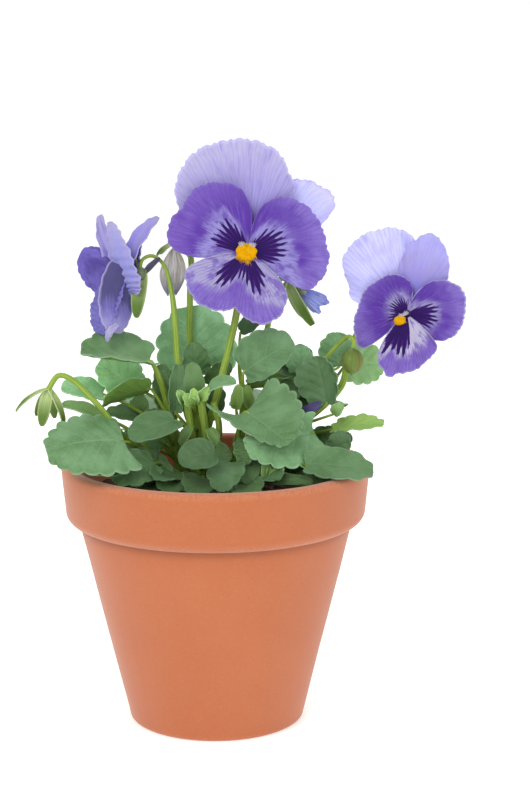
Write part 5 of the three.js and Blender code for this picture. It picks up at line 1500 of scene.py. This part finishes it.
leftBloom = {
    "centre": (-36, -0.5, 189.4), "facing": (-0.93, 0.3, -0.2), "upward": (-0.1, 0, 1), "clear": 4,
    "depth": 8, "sepals": [], "core": [(-35.4, -1.6, 190.6), (-40.4, 1.2, 188.6), 2.2],
    "petals": {
        "FarUpperPetal": leaf("petal", 9, (-38.5, 1, 190), (-47.7, 5, 214.4), (-0.65, -0.7, -0.2),
            look=("lavender", "dusty", "lavenderPale")),
        "MiddleUpperPetal": leaf("petal", 14, (-34.1, -4.5, 183), (-43.4, -2, 212), (-0.7, -0.7, -0.1),
            cup=-1.5, skew=1.6, neck=12, blunt=5, ribs=0.5,
            look=("skyLavender", "lavender", "lavenderPale"), fold=0),
        "CurledPetal": leaf("petal", 8, (-36.6, -0.6, 190.6), (-23.3, 2, 213.6), (-0.6, -0.75, 0.3),
            arch=3.5, blunt=9, look=("lavender", "blueViolet", "lavenderPale"), fold=0.15),
        "FoldedPart": leaf("petal", 5, (-32.8, 1.4, 193.6), (-31.5, 2.2, 203.4), (-0.3, -0.9, 0.2),
            blunt=30, look=("lavender", "blueViolet", "lavenderPale"), fold=-1),
        "FarSidePetal": leaf("petal", 19, (-38.5, 2, 188.5), (-56.5, 7, 198), (-0.25, -0.95, 0), neck=60,
            cup=-2, lean=-0.22, look=("violetClear", "violetDusk", "violetClear")),
        "NearSidePetal": leaf("petal", 16.5, (-37.4, -4.2, 194), (-41.3, -10, 166.8), (-0.4, 0.9, 0.1),
            neck=45, look=("dustyPale", "dusty", "lavenderPale"), fold=0.66),
        "CurledTip": leaf("petal", 3.4, (-40, -9.6, 170), (-44.3, -11, 163.4), (-0.4, -0.8, 0.4), cup=0.8,
            look=("lavenderPale", "lavender", "lavenderPale"), fold=-1),
        "Lip": leaf("petal", 14, (-40.6, -0.5, 187), (-47.8, -4, 165.4), (-0.55, -0.8, 0.2), neck=35,
            ribs=0.4, look=("dustyPale", "violetClear", "dustyPale")),
    },
}


def ovalPaint(name, look):  # the look names the main colour, the deep one and the light one
    main, deep, light = [petalColours[shade] for shade in look["look"]]
    paint = Paint(name, {"Specular IOR Level": 0.2, **soft(0.15, petalGlow, 0.6)})
    u, t, unused = paint.split(paint.gridPlace())
    age, bright, seed = paint.split(paint.tagged("tone"))
    side = abs(u * 2 - 1)
    streak = paint.noise(paint.vector(u * 14 / (t + 0.35), t * 1.5, seed * 5), 1.0, 3, 0.6)
    wide = paint.noise(paint.vector(u * 4, t * 3, seed * 9), 1.0, 3, 0.55)
    paint.shade = paint.mix(paint.smooth(wide, 0.36, 0.68) * 0.8, main, deep)
    paint.cover(paint.smooth(streak, 0.55, 0.75) * 0.55, deep)
    paint.cover(paint.smooth(streak, 0.45, 0.25) * 0.35, light)
    paint.cover(paint.smooth(t, 0.55, 0.95) * 0.5, light)
    # painted shade in the folds near each petal's base; the look's fold sets how far up it reaches
    reach = look.get("fold", 0.25)
    shaded = paint.smooth(t + (streak - 0.5) * 0.8 + (wide - 0.5) * 0.6, reach, reach - 0.3)
    paint.cover(shaded * 0.85, petalColours["fold"])
    rim = paint.maths("MAXIMUM", paint.smooth(side, 0.86, 0.99), paint.smooth(t, 0.93, 1.0))
    paint.cover(rim * 0.65, light)
    paint.use("Base Color", paint.shade)
    paint.use("Roughness", 0.5 + streak * 0.2)
    paint.bump(streak * 0.9 + wide * 0.5, 0.28, 0.6)
    return paint.material


def makeLeftBloom():
    for i, (part, petal) in enumerate(leftBloom["petals"].items()):
        paint = ovalPaint("leftBloom" + part, petal)
        seed = 0.2 + 0.13 * i
        blade = makeBlade(petal, (paint, paint), (0, 0.5, seed), seed)
        if part == "NearSidePetal":
            blade = joined([blade, makeEgg(*leftBloom["core"], paint)])
        finished(blade, "leftBloom" + part, ["left_bloom_petals"])


makeLeftBloom()
print("left bloom made")

# Withered bloom, hanging closed from its stalk with its petals folded into pleats

fadedBloom = {
    "top": (-17.9, 20, 199.4), "length": 22.4, "radius": 4.1, "pleat": 0.26, "lean": 1.6,
    "swell": (0.75, 0.35), "ragged": 3, "twist": 2.2, "mouth": 0.86, "hollow": 1.6, "sides": 120, "rings": 80,
    "grey": colour(204, 200, 192), "purple": colour(140, 132, 160), "pale": colour(236, 232, 224),
    "brown": colour(158, 144, 124),
}


def makeFadedBloom():
    form = fadedBloom
    paint = Paint("fadedPetal", {"Roughness": 0.8, "Specular IOR Level": 0.2, "Sheen Weight": 0.2})
    down, ring = paint.roundBody(5, 1.2)
    streak = paint.noise(ring, 2.2, 3, 0.6)
    cloud = paint.noise(paint.objectPlace(), 160, 3, 0.6)
    paint.shade = paint.mix(paint.smooth(streak, 0.5, 0.64) * 0.8, form["grey"], form["pale"])
    paint.cover(paint.smooth(streak, 0.48, 0.36) * 0.7, form["brown"])
    paint.cover(paint.smooth(down + (cloud - 0.5) * 0.6, 0.5, 0.85) * 0.85, form["purple"])
    paint.use("Base Color", paint.shade)
    paint.bump(streak + cloud * 0.4, 0.35, 0.7)
    body = unitSphere(form["sides"], form["rings"])
    ball = readPoints(body)
    x, y, z = ball.T
    angle, down = np.arctan2(y, x), (1 - z) / 2
    fold = np.cos(5 * angle + form["twist"] * down)
    pleat = 1 + form["pleat"] * fold + 0.05 * np.cos(17 * angle + 3 * down)
    least, more = form["swell"]
    swell = form["radius"] * (least + more * np.sin(math.pi * down)) * pleat
    ragged = form["ragged"] * down**2 * np.cos(5 * angle + form["twist"])
    inside = form["hollow"] * np.clip(down - form["mouth"], 0, 1)
    drop = form["length"] * (down - inside) - ragged * np.hypot(x, y)
    top = form["top"]
    points = np.stack([top[0] + swell * x - form["lean"] * down, top[1] + swell * y, top[2] - drop], axis=1)
    movePoints(body, points)
    tag(body, "body", angle, down, 0)
    body.data.materials.append(paint.material)
    seal(body)
    finished(body, "fadedBloom", ["faded_bloom"], 60)


makeFadedBloom()

# Opening bud: furled blue petals out of a green throat


def furled(length, spread):  # the rim of a petal that is still folded up
    shares = [(-1, 0.35), (-0.75, 0.74), (-0.35, 0.9), (0.05, 1), (0.3, 0.93), (0.7, 0.78), (1, 0.35)]
    return [(turn * spread, far * length) for turn, far in shares]


openingBud = {
    "centre": (33.6, 2.6, 184.4), "facing": (0.85, -0.1, -0.5), "upward": (0.5, 0, 0.85),
    "petals": [
        {"toward": (0.86, -0.12, -0.42), "faces": (-0.3, -0.9, 0.3), "rim": furled(15.5, 17)},
        {"toward": (0.7, -0.1, -0.75), "faces": (-0.4, -0.9, -0.2), "rim": furled(15, 15)},
        {"toward": (0.84, 0.2, -0.52), "faces": (-0.2, 0.9, 0.3), "rim": furled(14, 17)},
    ],
    "petal": {"angle": 0, "belly": 1.2, "frill": 0.4, "layer": 0.2, "columns": 34, "rows": 34, "waves": 24},
    "egg": [(33, 2.6, 184.8), (39, 2, 181), 1.9],
    "look": {
        "core": "blueDeep", "middle": "blue", "rim": "blue", "dark": "blueDeep", "pale": "bluePale",
        "streaks": 30, "streakDark": 0.5, "rimLine": 0.4,
    },
}


def makeOpeningBud():
    basis = flowerBasis(openingBud)
    paint = petalPaint("openingBudPetal", openingBud["look"])
    parts = [
        makeFan({**openingBud["petal"], **petal}, basis, (paint, paint), 0.3 + 0.2 * i)
        for i, petal in enumerate(openingBud["petals"])
    ]
    parts.append(makeEgg(*openingBud["egg"], sepalGreen))
    finished(joined(parts), "openingBud", ["opening_bud"])


makeOpeningBud()

# Seed pod on its hooked stalk, and a dark bud among the leaves

seedPod = {
    "from": (57.2, -6, 159.8), "to": (56.8, -6.6, 149.2), "radius": 4.6,
    "green": colour(108, 128, 58), "deep": colour(78, 98, 36), "brown": colour(112, 92, 46),
}
darkBud = {
    "from": (35.4, -8, 131), "to": (44.3, -7.4, 137.6), "radius": 2.8,
    "purple": colour(48, 38, 90), "blue": colour(68, 60, 124), "green": colour(84, 104, 62),
}


def makeSeedPod():
    paint = Paint("seedPod", {"Roughness": 0.45, "Specular IOR Level": 0.25})
    around, down, unused = paint.split(paint.tagged("body"))
    cloud = paint.noise(paint.objectPlace(), 240, 3, 0.6)
    seam = paint.smooth(paint.maths("COSINE", around * 3), 0.75, 0.98)
    stripe = paint.smooth(paint.maths("COSINE", around * 15), 0.3, 0.9)
    paint.shade = paint.mix(paint.smooth(cloud, 0.35, 0.7) * 0.6, seedPod["green"], seedPod["deep"])
    paint.cover(stripe * 0.3, seedPod["deep"])
    paint.cover(seam * 0.6, seedPod["brown"])
    paint.cover(paint.smooth(down, 0.9, 1.0) * 0.8, seedPod["brown"])
    paint.use("Base Color", paint.shade)
    paint.bump(cloud - seam, 0.25, 0.5)

    def lobes(around, down):
        return 1 - 0.05 * np.cos(3 * around) + 0.012 * np.cos(15 * around)

    pod = makeEgg(seedPod["from"], seedPod["to"], seedPod["radius"], paint.material, 48, 30, lobes)
    beak = makeHair(np.array(seedPod["to"]) + (0, 0, 0.4), (0, -0.1, -1), 1.3, 0.5, paint.material)
    finished(joined([pod, beak]), "seedPod", ["seed_pod"])


def makeDarkBud():
    paint = Paint("darkBud", {"Roughness": 0.55, "Sheen Weight": 0.2})
    down, ring = paint.roundBody(4, 2)
    streak = paint.noise(ring, 1.5, 3, 0.6)
    paint.shade = paint.mix(paint.smooth(streak, 0.4, 0.7), darkBud["purple"], darkBud["blue"])
    paint.cover(paint.smooth(down + (streak - 0.5) * 0.3, 0.3, 0.12), darkBud["green"])
    paint.use("Base Color", paint.shade)
    paint.bump(streak, 0.3, 0.6)

    def folds(around, down):
        point = 1 - 0.35 * down**2
        return point * (1 + 0.09 * np.cos(4 * around + 5 * down) + 0.03 * np.cos(11 * around))

    bud = makeEgg(darkBud["from"], darkBud["to"], darkBud["radius"], paint.material, 48, 30, folds)
    finished(bud, "darkBud", ["dark_bud"])


makeSeedPod()
makeDarkBud()
print("buds and seed pod made")

# The leafy stems come last, with the calyxes of the blooms that they carry

shoots = {
    "left_front_stem": (leftFrontStem, []),
    "left_stem": (leftStem, []),
    "back_left_stem": (backLeftStem, []),
    "middle_stem": (middleStem, [mainBloom, leftBloom]),
    "right_stem": (rightStem, []),
    "right_front_stem": (rightFrontStem, []),
    "back_right_stem": (backRightStem, [rightBloom]),
}
for seed, (node, (shoot, blooms)) in enumerate(shoots.items(), 21):
    makeShoot(node, shoot, blooms, seed)
print("leafy stems made")
